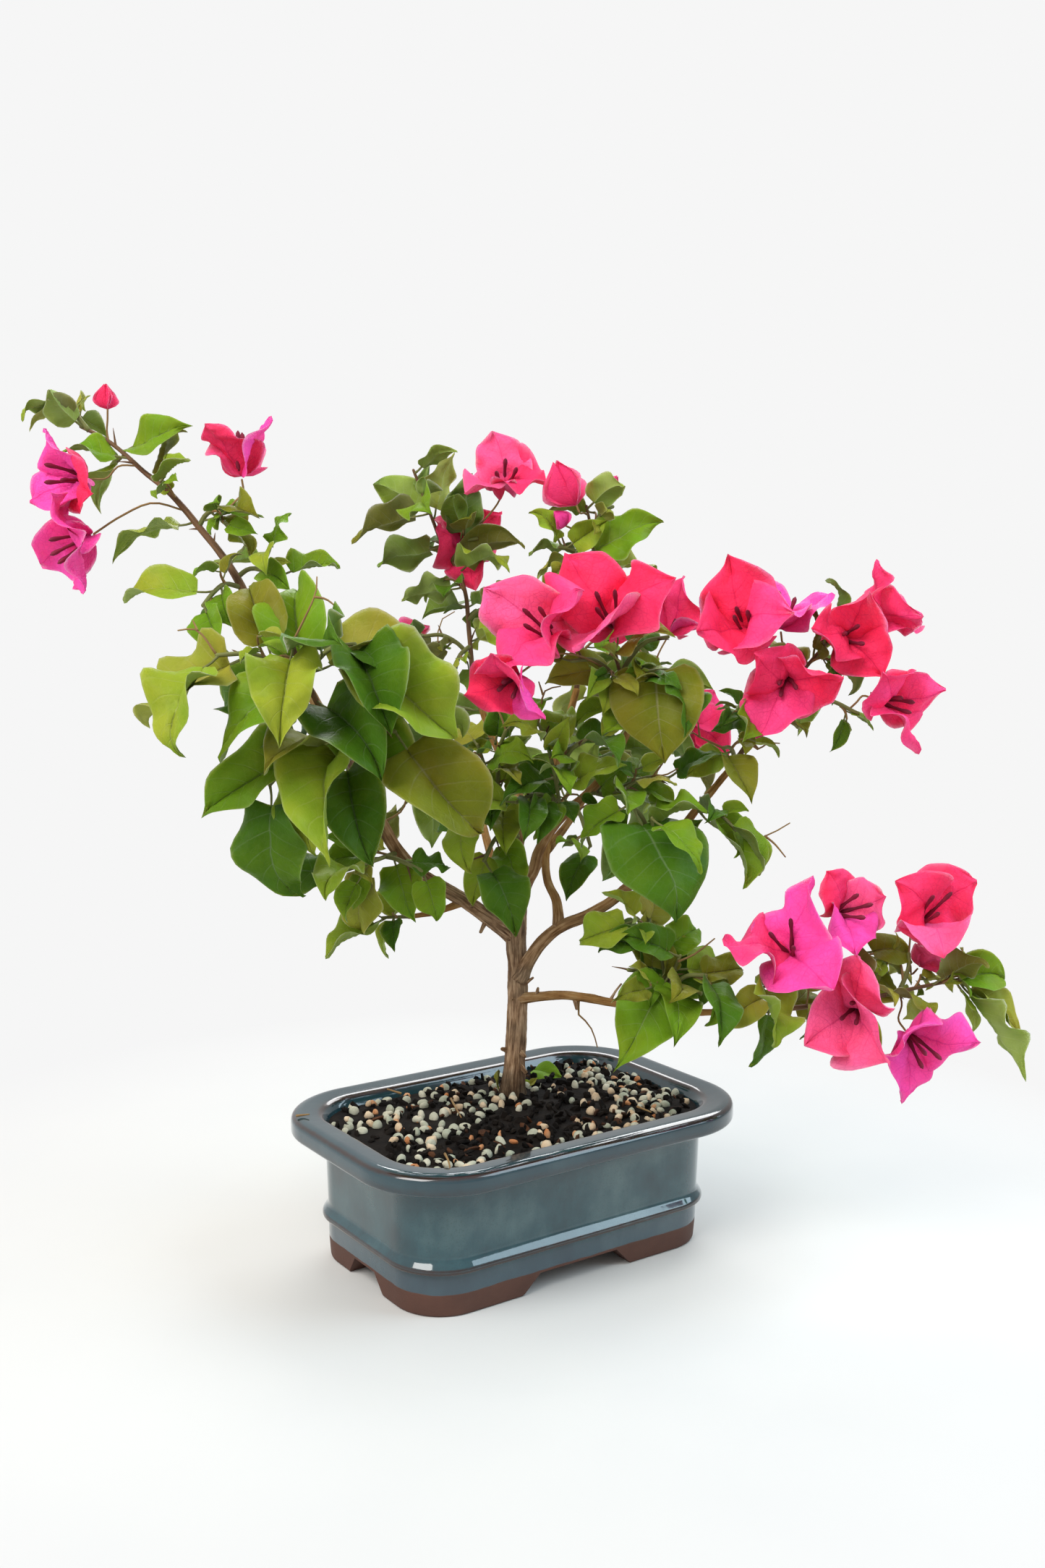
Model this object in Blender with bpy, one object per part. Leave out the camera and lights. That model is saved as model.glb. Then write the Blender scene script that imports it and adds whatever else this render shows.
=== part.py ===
"""Bougainvillea bonsai in its glazed pot, in metres with +Z up.

+X runs along the pot's long side. Everything is built round the middle of the pot, and moved at the end so
that the origin lies under the middle of the whole outline, on the level that the feet stand on. A place on
the plant is given in millimetres from the foot of the trunk, as the plant's own front shows it: across to
the right, near towards the viewer, and high above the soil.
"""

import math
import random
from collections import namedtuple

import bmesh
import bpy
from mathutils import Matrix, Vector
from mathutils.bvhtree import BVHTree

MM = 0.001
CLEAR = 0.3 * MM
FLAT_ANGLE = 0.2
SHARP_ANGLE = 40.0
WELD = 0.002 * MM

# The pot, in millimetres: an eight-inch oval-cornered pot with a broad lip on four bracket feet.
RIM_LENGTH = 203.0
RIM_WIDTH = 139.0
RIM_CORNER = 42.0
POT_HEIGHT = 71.0
LIP_THICK = 10.0
WALL = 6.0
BODY_INSET = 17.0
LIP_INNER = 15.0
BAND_LOW = 20.0
BAND_HIGH = 26.0
BAND_PROUD = 2.5
FOOT_HEIGHT = 9.0
FOOT_THICK = 11.0
FLOOR_HIGH = 14.0
GAP_LONG = (31.5, 22.0)
GAP_SHORT = (16.0, 9.0)
GAP_HIGH = 9.4
DRAIN_RADIUS = 7.0
DRAIN_APART = 38.0
CORNER_STEPS = 4

# The soil, a low mound that rises to the trunk.
SOIL_EDGE = 64.5
SOIL_TOP = 66.7
SOIL_FLAT = 10.0
SOIL_ROUGH = 0.5

# The plant's foot on the soil, and how far its front is turned from the pot's long side.
FOOT = Vector((11.5, 19.0, 67.0)) * MM
FRONT_TURN = math.radians(-35.2)

# The trunk's girth: its taper, its flare at the soil and its swelling under the fork.
TRUNK_TOP = 105.0
TRUNK_RADIUS = 4.55
TRUNK_TAPER = 0.6
FLARE = 1.9
FLARE_HIGH = 8.0
SWELL = 0.5
SWELL_HIGH = 86.0
SWELL_SPREAD = 9.0

# Leaves, bracts and twigs.
GOLDEN = math.radians(137.5)
TURN_STEP = math.radians(47.0)
TRIES = 9
LEAF_STALK = 0.22
LEAF_STALK_MOST = 9.0
STALK_RADIUS = 0.55
LEAF_WIDTH = 0.76
LEAF_FOLD = 0.22
LEAF_THICK = 0.9
LEAF_LEAN = (0.75, 1.05)
LEAF_TILT = 0.22
LEAF_CURL = (0.35, 0.75)
SET_CURL = (0.3, 0.6)
LEAF_LIGHT = 0.75
SET_LIGHT = 0.6
HEAVY_LEAF = 60.0
LEAF_SAG = 0.35
BIG_LEAF = 30.0
BRACT_WIDTH = 0.86
TWIG_RADIUS = (1.2, 0.95)
FLOWER_STALK = 0.7
BRACT_LOW = 0.34
BRACT_HIGH = 0.70
BRACT_FOLD = 0.10
BRACT_CURL = (0.1, 0.6)
BLOSSOM_OPENING = (36, 66)
BLOSSOM_NECK = (1.5, 0.15)
BLOSSOM_SHRINK = 0.96
BUD_GIRTH = 0.34
KNOB = 1.3
KNOB_BELOW = 2.08
OWN_SPACE = 6.0
SIDEWAYS = 0.55
SINK = 0.3
STRAY = 0.25
LEAN = 0.45
NUDGE = 1.2
OUT_CENTRE = 20.0
STEM_LEAVES_FROM = 0.16
SHOOT_LEAVES_FROM = 0.45
LEAVES_UP_TO = 0.985
LEAF_LENGTHS = (0.9, 1.12)
DOWN = Vector((0, 0, -1))
UP = (0, 0, 1)

Limb = namedtuple("Limb", "parent thick path")
Mass = namedtuple("Mass", "limb seeds thick leaves droop stem shoots blossom tips")
Leaf = namedtuple("Leaf", "node aim face length curl")
Blossom = namedtuple("Blossom", "stalk centre axis turn size opening curl")

# Each limb: its parent, its radius at the foot and at the tip, and the places that it runs through.
LIMBS = {
    "trunk": Limb(None, (0, 0), [(0, 0, 0), (1, 0, 20), (2, 0, 42), (2, 0, 64), (1, 1, 82), (2, 0, 105)]),
    "bough_left": Limb("trunk", (3.7, 2.0), [
        (1, 0, 80), (-12, 4, 90), (-23, 8, 99), (-38, 18, 110), (-54, 32, 127), (-73, 44, 166),
        (-92, 46, 201), (-109, 42, 226), (-121, 38, 243)]),
    "bough_centre": Limb("trunk", (3.1, 1.5), [
        (2, 0, 103), (1, -4, 117), (2, -6, 126), (7, -9, 139), (16, -10, 153), (24, -12, 179),
        (30, -12, 201)]),
    "bough_top_left": Limb("bough_centre", (2.2, 1.3), [
        (6, -8, 136), (0, -20, 153), (-8, -30, 168), (-16, -38, 186), (-22, -42, 206)]),
    "bough_right": Limb("trunk", (2.9, 1.4), [
        (2, 1, 103), (9, 4, 113), (13, 10, 127), (22, 13, 141), (32, 14, 150), (45, 18, 166),
        (54, 22, 185)]),
    "bough_right_middle": Limb("trunk", (3.3, 1.5), [
        (3, 1, 60), (12, 8, 77), (23, 12, 88), (43, 18, 99), (67, 18, 121), (87, 12, 145),
        (103, 8, 164)]),
    "bough_inner_right": Limb("bough_right_middle", (2.3, 1.2), [
        (22, 11, 87), (21, 6, 98), (16, -6, 109), (17, -26, 122), (24, -46, 139)]),
    "bough_low_right": Limb("trunk", (2.3, 1.4), [
        (1, 1, 49), (25, 12, 54), (45, 20, 53), (76, 26, 50), (114, 26, 50)]),
    "bough_low_left": Limb("bough_left", (1.5, 1.1), [(-25, 9, 99), (-37, 14, 95), (-50, 20, 94)]),
    "bough_back_left": Limb("trunk", (2.6, 1.5), [
        (1, -1, 93), (-10, -30, 109), (-18, -58, 131), (-26, -76, 146)]),
    "bough_back_right": Limb("trunk", (2.6, 1.5), [
        (3, -1, 100), (13, -24, 114), (30, -54, 132), (43, -78, 150)]),
}

# Each mass of foliage: the limb it grows on, the seeds of its leaves and its blossom, its stem's radius at
# the foot and at the tip, its stem's leaves (how many, and their length low down, halfway and at the tip),
# how far they droop, and where its stem runs. A shoot starts at a share of the stem's length and has its own
# leaves: how many, and their length first and last. A blossom starts likewise, or from a shoot: 2.7 is the
# second shoot at 0.7 of its length. It has the length of its bracts, or of the closed bud where that is below
# nought, and the way it looks. The leaves that make the outline have the place of their tip and their length.
MASSES = {
    "foliage_upper_left": Mass("bough_left", (30, 5), (2.0, 0.8), (5, 26, 30, 20), 0.45, stem=[
        (-121, 38, 243), (-131, 34, 260), (-146, 30, 278), (-159, 24, 292), (-176, 16, 305),
        (-189, 10, 316), (-205, 4, 324)],
        shoots=[(0.06, (-139, 52, 241), 3, 22, 24), (0.10, (-108, 30, 255), 3, 20, 26),
                (0.34, (-128, 36, 285), 2, 22, 24), (0.96, (-212, 2, 334), 3, 18, 20)],
        blossom=[(3.9, (-125, 30, 300), 31, (0, 1, 3)), (0.42, (-193, 36, 272), 33, (-1, 2, -1)),
                 (0.70, (-194, 30, 298), 34, (-1, 2, 1)), (0.86, (-190, 12, 331), -12, UP)],
        tips=[((-180, 42, 239), 38), ((-148, 26, 317), 32), ((-211, 16, 309), 28), ((-145, 36, 306), 22),
              ((-114, 34, 280), 24), ((-230, 8, 318), 18)]),
    "foliage_left": Mass("bough_left", (2, 1), (1.7, 1.0), (6, 44, 46, 38), 0.62, stem=[
        (-73, 46, 166), (-80, 82, 191), (-86, 104, 211), (-90, 116, 226)],
        shoots=[(0.30, (-106, 78, 164), 1, 42, 46), (0.34, (-50, 96, 189), 1, 44, 46),
                (0.72, (-122, 108, 221), 2, 38, 42), (0.80, (-65, 112, 226), 2, 36, 38)],
        blossom=[],
        tips=[((-157, 84, 185), 56), ((-130, 74, 143), 50), ((-122, 110, 180), 44), ((-97, 122, 171), 50),
              ((-77, 126, 134), 64), ((-53, 112, 128), 54), ((-13, 96, 133), 56), ((-26, 108, 182), 50),
              ((-53, 112, 216), 42), ((-37, 88, 221), 42), ((-98, 62, 100), 50)]),
    "foliage_left_lower": Mass("bough_left", (30, 1), (1.2, 0.8), (5, 26, 30, 34), 0.55, stem=[
        (-53, 34, 127), (-63, 48, 126), (-78, 58, 122)],
        shoots=[(0.30, (-41, 50, 121), 2, 20, 22)],
        blossom=[], tips=[]),
    "foliage_low_left": Mass("bough_low_left", (57, 1), (1.0, 0.7), (3, 16, 18, 20), 0.5, stem=[
        (-50, 20, 94), (-62, 28, 95)],
        shoots=[],
        blossom=[], tips=[((-87, 44, 76), 30)]),
    "foliage_top_left": Mass("bough_top_left", (18, 15), (1.3, 0.7), (6, 28, 32, 22), 0.45, stem=[
        (-22, -42, 206), (-24, -44, 230), (-27, -46, 253), (-37, -46, 271), (-45, -46, 291),
        (-52, -44, 309)],
        shoots=[(0.08, (-47, -36, 226), 2, 24, 26), (0.14, (-33, -34, 201), 2, 22, 24),
                (0.26, (-9, -40, 239), 3, 20, 24), (0.55, (-20, -40, 275), 1, 30, 34)],
        blossom=[(4.7, (-6, -30, 300), 28, (0, 3, 1)), (0.62, (-29, -56, 271), 28, (0, 3, 1))],
        tips=[((-82, -30, 272), 34), ((-75, -30, 253), 32), ((-61, -34, 240), 28), ((-1, -30, 271), 34),
              ((-30, -44, 318), 30), ((-73, -40, 304), 28)]),
    "foliage_top": Mass("bough_centre", (43, 19), (1.4, 0.7), (4, 24, 26, 22), 0.45, stem=[
        (30, -12, 201), (32, -14, 220), (36, -16, 245), (38, -17, 264), (36, -17, 283), (34, -16, 290)],
        shoots=[(0.30, (52, -20, 234), 1, 24, 26), (0.62, (21, -10, 270), 1, 22, 24),
                (0.85, (47, -20, 290), 1, 20, 24)],
        blossom=[(0.95, (28, -12, 290), -25, UP), (0.80, (24, -8, 280), -10, (-2, 1, 2)),
                 (3.9, (43, -16, 298), -9, (2, 0, 1))],
        tips=[((73, -14, 279), 36), ((5, -8, 289), 22), ((7, 0, 237), 36), ((73, -30, 256), 30),
              ((45, -12, 281), 20)]),
    "foliage_centre_blossom": Mass("bough_right", (39, 43), (1.3, 0.8), (4, 26, 30, 26), 0.5, stem=[
        (54, 22, 185), (50, 28, 205), (46, 32, 221)],
        shoots=[(0.35, (71, 36, 213), 2, 24, 30), (0.55, (26, 40, 217), 2, 20, 22),
                (0.70, (70, 34, 228), 1, 22, 26)],
        blossom=[(2.8, (18, 42, 227), 36, (-2, 3, 1)), (1.0, (45, 36, 232), 37, (-1, 3, 2)),
                 (1.0, (60, 32, 239), 34, (2, 2, 1)), (2.4, (2, 64, 212), 26, (-2, 3, -2))],
        tips=[((73, 56, 173), 42)]),
    "foliage_right": Mass("bough_right_middle", (23, 1), (1.4, 0.7), (6, 26, 28, 26), 0.45, stem=[
        (103, 8, 164), (117, 8, 185), (129, 5, 200), (142, 0, 216), (156, -5, 230)],
        shoots=[(0.05, (98, 22, 176), 2, 22, 26), (0.36, (163, 12, 192), 1, 20, 22),
                (0.30, (108, 20, 193), 2, 20, 24)],
        blossom=[(0.62, (108, 26, 228), 37, (-1, 2, 1)), (0.70, (126, 26, 210), 32, (0, 3, -1)),
                 (0.74, (127, 4, 232), 27, (1, 1, 3)), (0.85, (154, 4, 227), 29, (0, 3, 0)),
                 (1.00, (172, -12, 235), 28, (1, 2, 1)), (2.9, (171, 14, 199), 31, (1, 2, -1))],
        tips=[((139, -6, 240), 20), ((152, 8, 204), 26)]),
    "foliage_right_front": Mass("bough_right_middle", (47, 1), (1.1, 0.8), (3, 24, 26, 30), 0.7, stem=[
        (67, 20, 122), (65, 34, 134), (63, 46, 146)],
        shoots=[(0.30, (53, 40, 152), 2, 24, 26)],
        blossom=[], tips=[((71, 56, 95), 50)]),
    "foliage_right_under": Mass("bough_right_middle", (35, 1), (0.9, 0.7), (2, 22, 24, 26), 0.7, stem=[
        (87, 12, 145), (94, 20, 145), (98, 28, 144)],
        shoots=[],
        blossom=[], tips=[((108, 30, 107), 38)]),
    "foliage_low_right_inner": Mass("bough_low_right", (12, 1), (1.2, 0.8), (5, 36, 36, 26), 0.6, stem=[
        (68, 24, 51), (73, 34, 66), (78, 38, 80)],
        shoots=[(0.10, (53, 50, 76), 1, 36, 40), (0.30, (90, 40, 71), 3, 28, 32),
                (0.50, (58, 30, 96), 4, 24, 28)],
        blossom=[], tips=[((43, 52, 34), 46), ((64, 46, 41), 40)]),
    "foliage_low_right": Mass("bough_low_right", (59, 7), (1.4, 0.8), (8, 30, 28, 24), 0.5, stem=[
        (114, 26, 50), (142, 26, 53), (170, 22, 56), (196, 16, 60), (216, 12, 63)],
        shoots=[(0.08, (115, 40, 69), 2, 28, 32), (0.45, (168, 14, 77), 2, 26, 28),
                (0.70, (192, 10, 75), 1, 22, 24)],
        blossom=[(0.25, (129, 42, 82), 38, (-1, 2, 2)), (2.6, (154, 20, 97), 28, (2, 2, 0)),
                 (3.95, (197, 8, 90), 36, (1, 3, 1)), (3.7, (198, 4, 68), 20, (0, 1, 3)),
                 (0.52, (160, 44, 58), 36, (-1, 3, 0)), (0.70, (186, 36, 43), 32, (1, 2, -1))],
        tips=[((243, 18, 12), 46), ((260, 10, 17), 36), ((241, 0, 61), 28), ((112, 26, 23), 28)]),
    "foliage_centre_left": Mass("bough_centre", (57, 1), (1.1, 0.7), (7, 26, 26, 24), 0.4, stem=[
        (2, -4, 128), (-4, 12, 145), (-11, 26, 160), (-17, 34, 178)],
        shoots=[(0.10, (-14, 30, 123), 3, 28, 38), (0.35, (-24, 34, 147), 3, 24, 26),
                (0.55, (-4, 38, 185), 2, 22, 26)],
        blossom=[], tips=[]),
    "foliage_centre": Mass("bough_right", (54, 1), (1.1, 0.7), (8, 26, 28, 24), 0.4, stem=[
        (22, 14, 142), (20, 28, 157), (17, 36, 172), (11, 34, 188)],
        shoots=[(0.15, (1, 40, 152), 3, 24, 26), (0.45, (34, 40, 182), 3, 24, 26),
                (0.70, (-4, 30, 196), 2, 22, 24)],
        blossom=[], tips=[]),
    "foliage_centre_right": Mass("bough_right", (27, 1), (1.0, 0.7), (5, 24, 24, 22), 0.4, stem=[
        (35, 14, 153), (47, 26, 155), (57, 32, 161)],
        shoots=[(0.50, (72, 26, 162), 3, 22, 24), (0.20, (48, 34, 146), 2, 22, 24)],
        blossom=[], tips=[]),
    "foliage_inner_right": Mass("bough_inner_right", (15, 1), (1.1, 0.7), (7, 28, 30, 26), 0.4, stem=[
        (24, -46, 139), (31, -58, 151), (37, -66, 165)],
        shoots=[(0.10, (39, -40, 119), 2, 28, 30), (0.30, (12, -60, 150), 3, 26, 28),
                (0.60, (60, -60, 166), 2, 26, 28)],
        blossom=[], tips=[]),
    "foliage_back_left": Mass("bough_back_left", (16, 39), (1.2, 0.7), (9, 36, 38, 28), 0.5, stem=[
        (-26, -76, 146), (-40, -90, 162), (-55, -98, 183), (-61, -100, 205)],
        shoots=[(0.15, (-60, -92, 134), 2, 34, 38), (0.40, (-79, -84, 170), 2, 34, 38),
                (0.60, (-25, -96, 185), 2, 30, 32)],
        blossom=[(0.90, (-67, -104, 214), 29, (-1, -2, 1))], tips=[]),
    "foliage_back_right": Mass("bough_back_right", (21, 9), (1.2, 0.7), (9, 36, 36, 28), 0.5, stem=[
        (43, -78, 150), (54, -92, 167), (68, -100, 186), (75, -98, 210)],
        shoots=[(0.12, (67, -100, 126), 2, 34, 38), (0.35, (88, -92, 163), 2, 32, 34),
                (0.60, (42, -104, 193), 2, 28, 30)],
        blossom=[(0.85, (84, -104, 227), 31, (1, -1, 2)), (0.95, (61, -90, 225), 30, (-1, -1, 2)),
                 (3.9, (96, -104, 178), 29, (1, -2, 0))], tips=[]),
}

TWIG, LEAF, BRACT = range(3)


def spot(across, near, high):
    """The point at so many millimetres across, near and high from the foot of the trunk."""
    return FOOT + Matrix.Rotation(FRONT_TURN, 3, "Z") @ Vector((across, -near, high)) * MM


def smooth_path(points, count):
    """Evenly spaced points on one smooth curve through the given ones."""
    ends = [points[0] * 2 - points[1], *points, points[-1] * 2 - points[-2]]
    fine = []
    for a, b, c, d in zip(ends, ends[1:], ends[2:], ends[3:]):
        for step in range(12):
            t = step / 12
            fine.append((b * 2 + (c - a) * t + (a * 2 - b * 5 + c * 4 - d) * t * t
                         + (b * 3 - a - c * 3 + d) * t ** 3) / 2)
    fine.append(points[-1])
    run = [0.0]
    for p, q in zip(fine, fine[1:]):
        run.append(run[-1] + (q - p).length)
    path = []
    at = 0
    for k in range(count):
        want = run[-1] * k / (count - 1)
        while at < len(fine) - 2 and run[at + 1] < want:
            at += 1
        share = (want - run[at]) / (run[at + 1] - run[at])
        path.append(fine[at].lerp(fine[at + 1], min(share, 1.0)))
    return path


def along(path, share):
    """The point at a share of the path's length, and the path's direction there."""
    place = min(max(share, 0.0), 1.0) * (len(path) - 1)
    k = min(int(place), len(path) - 2)
    return path[k].lerp(path[k + 1], place - k), (path[k + 1] - path[k]).normalized()


def across_of(direction):
    """Two sides at right angles to a direction and to each other."""
    guide = Vector((1, 0, 0)) if abs(direction.x) < 0.7 else Vector((0, 1, 0))
    side = (guide - direction * guide.dot(direction)).normalized()
    return side, direction.cross(side)


def path_length(path):
    return sum((q - p).length for p, q in zip(path, path[1:]))


def tube(path, radii, sides, kind=TWIG, lobes=None):
    """A closed tube with flat ends; lobes gives each ring's (share of the radius, turn) of three roots."""
    points = []
    side = across_of((path[1] - path[0]).normalized())[0]
    for k, centre in enumerate(path):
        ahead = (path[min(k + 1, len(path) - 1)] - path[max(k - 1, 0)]).normalized()
        side = (side - ahead * side.dot(ahead)).normalized()
        other = ahead.cross(side)
        for j in range(sides):
            turn = 2 * math.pi * j / sides
            swell = 1 + lobes[k] * math.cos(3 * turn) if lobes else 1
            points.append(centre + (side * math.cos(turn) + other * math.sin(turn)) * radii[k] * swell)
    faces = [tuple(reversed(range(sides)))]
    for k in range(len(path) - 1):
        for j in range(sides):
            a = k * sides + j
            b = k * sides + (j + 1) % sides
            faces.append((a, b, b + sides, a + sides))
    faces.append(tuple(range(len(points) - sides, len(points))))
    return points, faces, kind


def bent(foot, aim, face, length, curl, share):
    """The middle of a blade at a share of its length, and which way its face looks there."""
    angle = curl * share
    if abs(curl) < 0.01:
        return foot + aim * length * share, face
    along_blade = aim * math.sin(angle) / curl - face * (1 - math.cos(angle)) / curl
    return foot + along_blade * length, face * math.cos(angle) + aim * math.sin(angle)


def blade_rings(foot, aim, face, stations, length, thick, curl, fold):
    """Four points at each station (share of the length, half width), then the blade's tip."""
    side = face.cross(aim)
    points = []
    for share, half in stations:
        centre, up = bent(foot, aim, face, length, curl, share)
        lift = up * fold * half
        points += [centre + side * half + lift, centre + up * thick / 2, centre - side * half + lift,
                   centre - up * thick / 2]
    points.append(bent(foot, aim, face, length, curl, 1.0)[0])
    return points


def blade_faces(ring, rings, tip):
    """The faces from one ring of four to the next, and from the last to the tip."""
    faces = []
    for _ in range(rings - 1):
        faces += [(ring + j, ring + (j + 1) % 4, ring + 4 + (j + 1) % 4, ring + 4 + j) for j in range(4)]
        ring += 4
    return faces + [(ring + j, ring + (j + 1) % 4, tip) for j in range(4)]


def leaf_size(length, grow):
    """A leaf's stalk, its stations and its thickness; a small leaf has one station."""
    stalk = min(length * LEAF_STALK, LEAF_STALK_MOST) * MM
    half = length * LEAF_WIDTH / 2 * MM
    if length > BIG_LEAF:
        stations = [(0.24, half * 1.02 + grow), (0.60, half * 0.86 + grow)]
    else:
        stations = [(0.36, half * 1.12 + grow)]
    return stalk, stations, LEAF_THICK * MM + grow * 2


def leaf_blade(leaf, grow=0.0):
    """A leaf's blade alone, closed at its foot, for the test that it has room."""
    stalk, stations, thick = leaf_size(leaf.length, grow)
    foot = leaf.node + leaf.aim * stalk
    points = [foot, *blade_rings(foot, leaf.aim, leaf.face, stations, leaf.length * MM + grow, thick,
                                 leaf.curl, LEAF_FOLD)]
    faces = [(0, 1 + (j + 1) % 4, 1 + j) for j in range(4)] + blade_faces(1, len(stations), len(points) - 1)
    return points, faces, LEAF


def leaf_shape(leaf):
    """A three-sided stalk whose root is sunk in the twig, and a blade folded along its middle."""
    stalk, stations, thick = leaf_size(leaf.length, 0.0)
    side = leaf.face.cross(leaf.aim)
    points = []
    for step in (0.0, stalk):
        for turn in (math.pi / 6, math.pi * 5 / 6, math.pi * 3 / 2):
            out = side * math.cos(turn) + leaf.face * math.sin(turn)
            points.append(leaf.node + leaf.aim * step + out * STALK_RADIUS * MM)
    points += blade_rings(leaf.node + leaf.aim * stalk, leaf.aim, leaf.face, stations, leaf.length * MM,
                          thick, leaf.curl, LEAF_FOLD)
    faces = [(2, 1, 0), (0, 1, 4, 3), (1, 2, 5, 4), (2, 0, 3, 5)]
    faces += [(3, 4, 7), (4, 8, 7), (4, 5, 8), (5, 9, 8), (5, 6, 9), (5, 3, 6), (3, 7, 6)]
    return points, faces + blade_faces(6, len(stations), len(points) - 1), LEAF


def bract_frames(blossom):
    """Each bract's direction, face and stations, no wider at its foot than its neighbours leave room for."""
    side, other = across_of(blossom.axis)
    half = blossom.size * BRACT_WIDTH / 2 * MM
    frames = []
    for k, opening in enumerate(blossom.opening):
        around = blossom.turn + 2 * math.pi * k / 3
        out = side * math.cos(around) + other * math.sin(around)
        aim = blossom.axis * math.cos(opening) + out * math.sin(opening)
        face = blossom.axis * math.sin(opening) - out * math.cos(opening)
        room = BRACT_LOW * blossom.size * MM * math.sin(opening) * 1.5
        frames.append((out, aim, face, [(BRACT_LOW, min(half * 0.84, room)), (BRACT_HIGH, half * 0.94)]))
    return frames


def bract_blades(blossom, grow):
    """The blossom's bracts as loose closed blades, or its bud, fattened for the test that it has room."""
    if blossom.size < 0:
        return [bud_tube(blossom, grow)]
    parts = []
    for out, aim, face, stations in bract_frames(blossom):
        wide = [(share, half + grow) for share, half in stations]
        points = [blossom.centre, *blade_rings(blossom.centre, aim, face, wide, blossom.size * MM + grow,
                                               LEAF_THICK * MM + grow * 2, blossom.curl, BRACT_FOLD)]
        faces = [(0, 1 + (j + 1) % 4, 1 + j) for j in range(4)] + blade_faces(1, len(wide), len(points) - 1)
        parts.append((points, faces, BRACT))
    return parts


def bud_tube(blossom, grow=0.0):
    """A closed bud: a pointed drop that stands on the end of its stalk."""
    size = -blossom.size * MM
    shares = (-0.06, 0.16, 0.5, 0.82, 1.0)
    girths = (0.25, 0.80, 1.0, 0.60, 0.10)
    path = [blossom.centre + blossom.axis * share * size for share in shares]
    return tube(path, [size * BUD_GIRTH * girth + grow for girth in girths], 5, BRACT)


def blossom_shapes(blossom):
    """A thin stalk that ends in a knob, each of whose three sides is drawn out into a bract."""
    if blossom.size < 0:
        return [tube(blossom.stalk, [FLOWER_STALK * MM] * len(blossom.stalk), 3), bud_tube(blossom)]
    points, faces, _ = tube(blossom.stalk, [FLOWER_STALK * MM] * len(blossom.stalk), 3)
    faces.pop()
    kinds = [TWIG] * len(faces)
    frames = bract_frames(blossom)
    ends = points[-3:]
    corners = []
    for k in range(3):
        out = -frames[(k + 2) % 3][0]
        rim = blossom.centre + out * KNOB * MM
        corners.append([rim + blossom.axis * step * MM for step in (-KNOB, KNOB / 2)])
    shift = min(range(3), key=lambda s: sum((ends[j] - corners[(j + s) % 3][0]).length for j in range(3)))
    low = []
    high = []
    for j in range(3):
        low.append(len(points))
        points.append(corners[(j + shift) % 3][0])
    for j in range(3):
        high.append(len(points))
        points.append(corners[(j + shift) % 3][1])
    tail = low[0] - 3
    faces += [(tail + j, tail + (j + 1) % 3, low[(j + 1) % 3], low[j]) for j in range(3)]
    faces.append(tuple(high))
    kinds += [TWIG] * 4
    for j in range(3):
        k = (j + shift + 1) % 3
        _, aim, face, stations = frames[k]
        near, far = (j + 1) % 3, j
        ring = [low[near], high[near], high[far], low[far]]
        first = len(points)
        points += blade_rings(blossom.centre, aim, face, stations, blossom.size * MM, LEAF_THICK * MM,
                              blossom.curl, BRACT_FOLD)
        for step in range(4):
            after = (step + 1) % 4
            faces += [(ring[step], ring[after], first + step), (ring[after], first + after, first + step)]
        faces += blade_faces(first, len(stations), len(points) - 1)
        kinds += [BRACT] * (len(faces) - len(kinds))
    return [(points, faces, kinds)]


class Crowd:
    """Everything that has grown so far, for the test that a new piece keeps clear of it."""

    def __init__(self):
        self.grown = []

    def add(self, shape, owner):
        points, faces, _ = shape
        low = Vector([min(p[k] for p in points) for k in range(3)])
        high = Vector([max(p[k] for p in points) for k in range(3)])
        self.grown.append((low, high, BVHTree.FromPolygons(points, faces), owner))

    def meets(self, shape, skip=()):
        """Whether the shape cuts a grown piece other than those of the twigs or whole masses to skip."""
        points, faces, _ = shape
        low = Vector([min(p[k] for p in points) for k in range(3)])
        high = Vector([max(p[k] for p in points) for k in range(3)])
        tree = None
        for other_low, other_high, other, owner in self.grown:
            if owner in skip or owner.partition(" ")[0] in skip:
                continue
            if any(low[k] > other_high[k] or high[k] < other_low[k] for k in range(3)):
                continue
            tree = tree or BVHTree.FromPolygons(points, faces)
            if tree.overlap(other):
                return True
        return False

    def takes(self, whole, fat, name, own):
        """Add a new piece if it meets no other mass and its fattened blades meet only its own twig."""
        if any(self.meets(shape, (name,)) for shape in whole):
            return False
        if any(self.meets(shape, (own,)) for shape in fat):
            return False
        for shape in whole:
            self.add(shape, name)
        return True


def trunk_shape(grow=0.0):
    """The trunk from the soil to its fork, with three roots' flare; grow fattens it for a cut."""
    path = smooth_path([spot(*place) for place in LIMBS["trunk"].path], 17)
    radii = []
    lobes = []
    for point in path:
        high = (point.z - FOOT.z) / MM
        flare = math.exp(-high / FLARE_HIGH)
        swell = SWELL * math.exp(-((high - SWELL_HIGH) / SWELL_SPREAD) ** 2)
        radii.append((TRUNK_RADIUS - TRUNK_TAPER * high / TRUNK_TOP + FLARE * flare + swell) * MM + grow)
        lobes.append(0.10 * flare)
    if grow:
        path = longer(path, grow)
    return tube(path, radii, 10, lobes=lobes)


def longer(path, more):
    """The same path with both of its ends moved outwards."""
    first = path[0] + (path[0] - path[1]).normalized() * more
    last = path[-1] + (path[-1] - path[-2]).normalized() * more
    return [first, *path[1:-1], last]


def limb_path(name):
    limb = LIMBS[name]
    points = [spot(*place) for place in limb.path]
    return smooth_path(points, max(5, round(path_length(points) / MM / 13) + 1))


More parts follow.
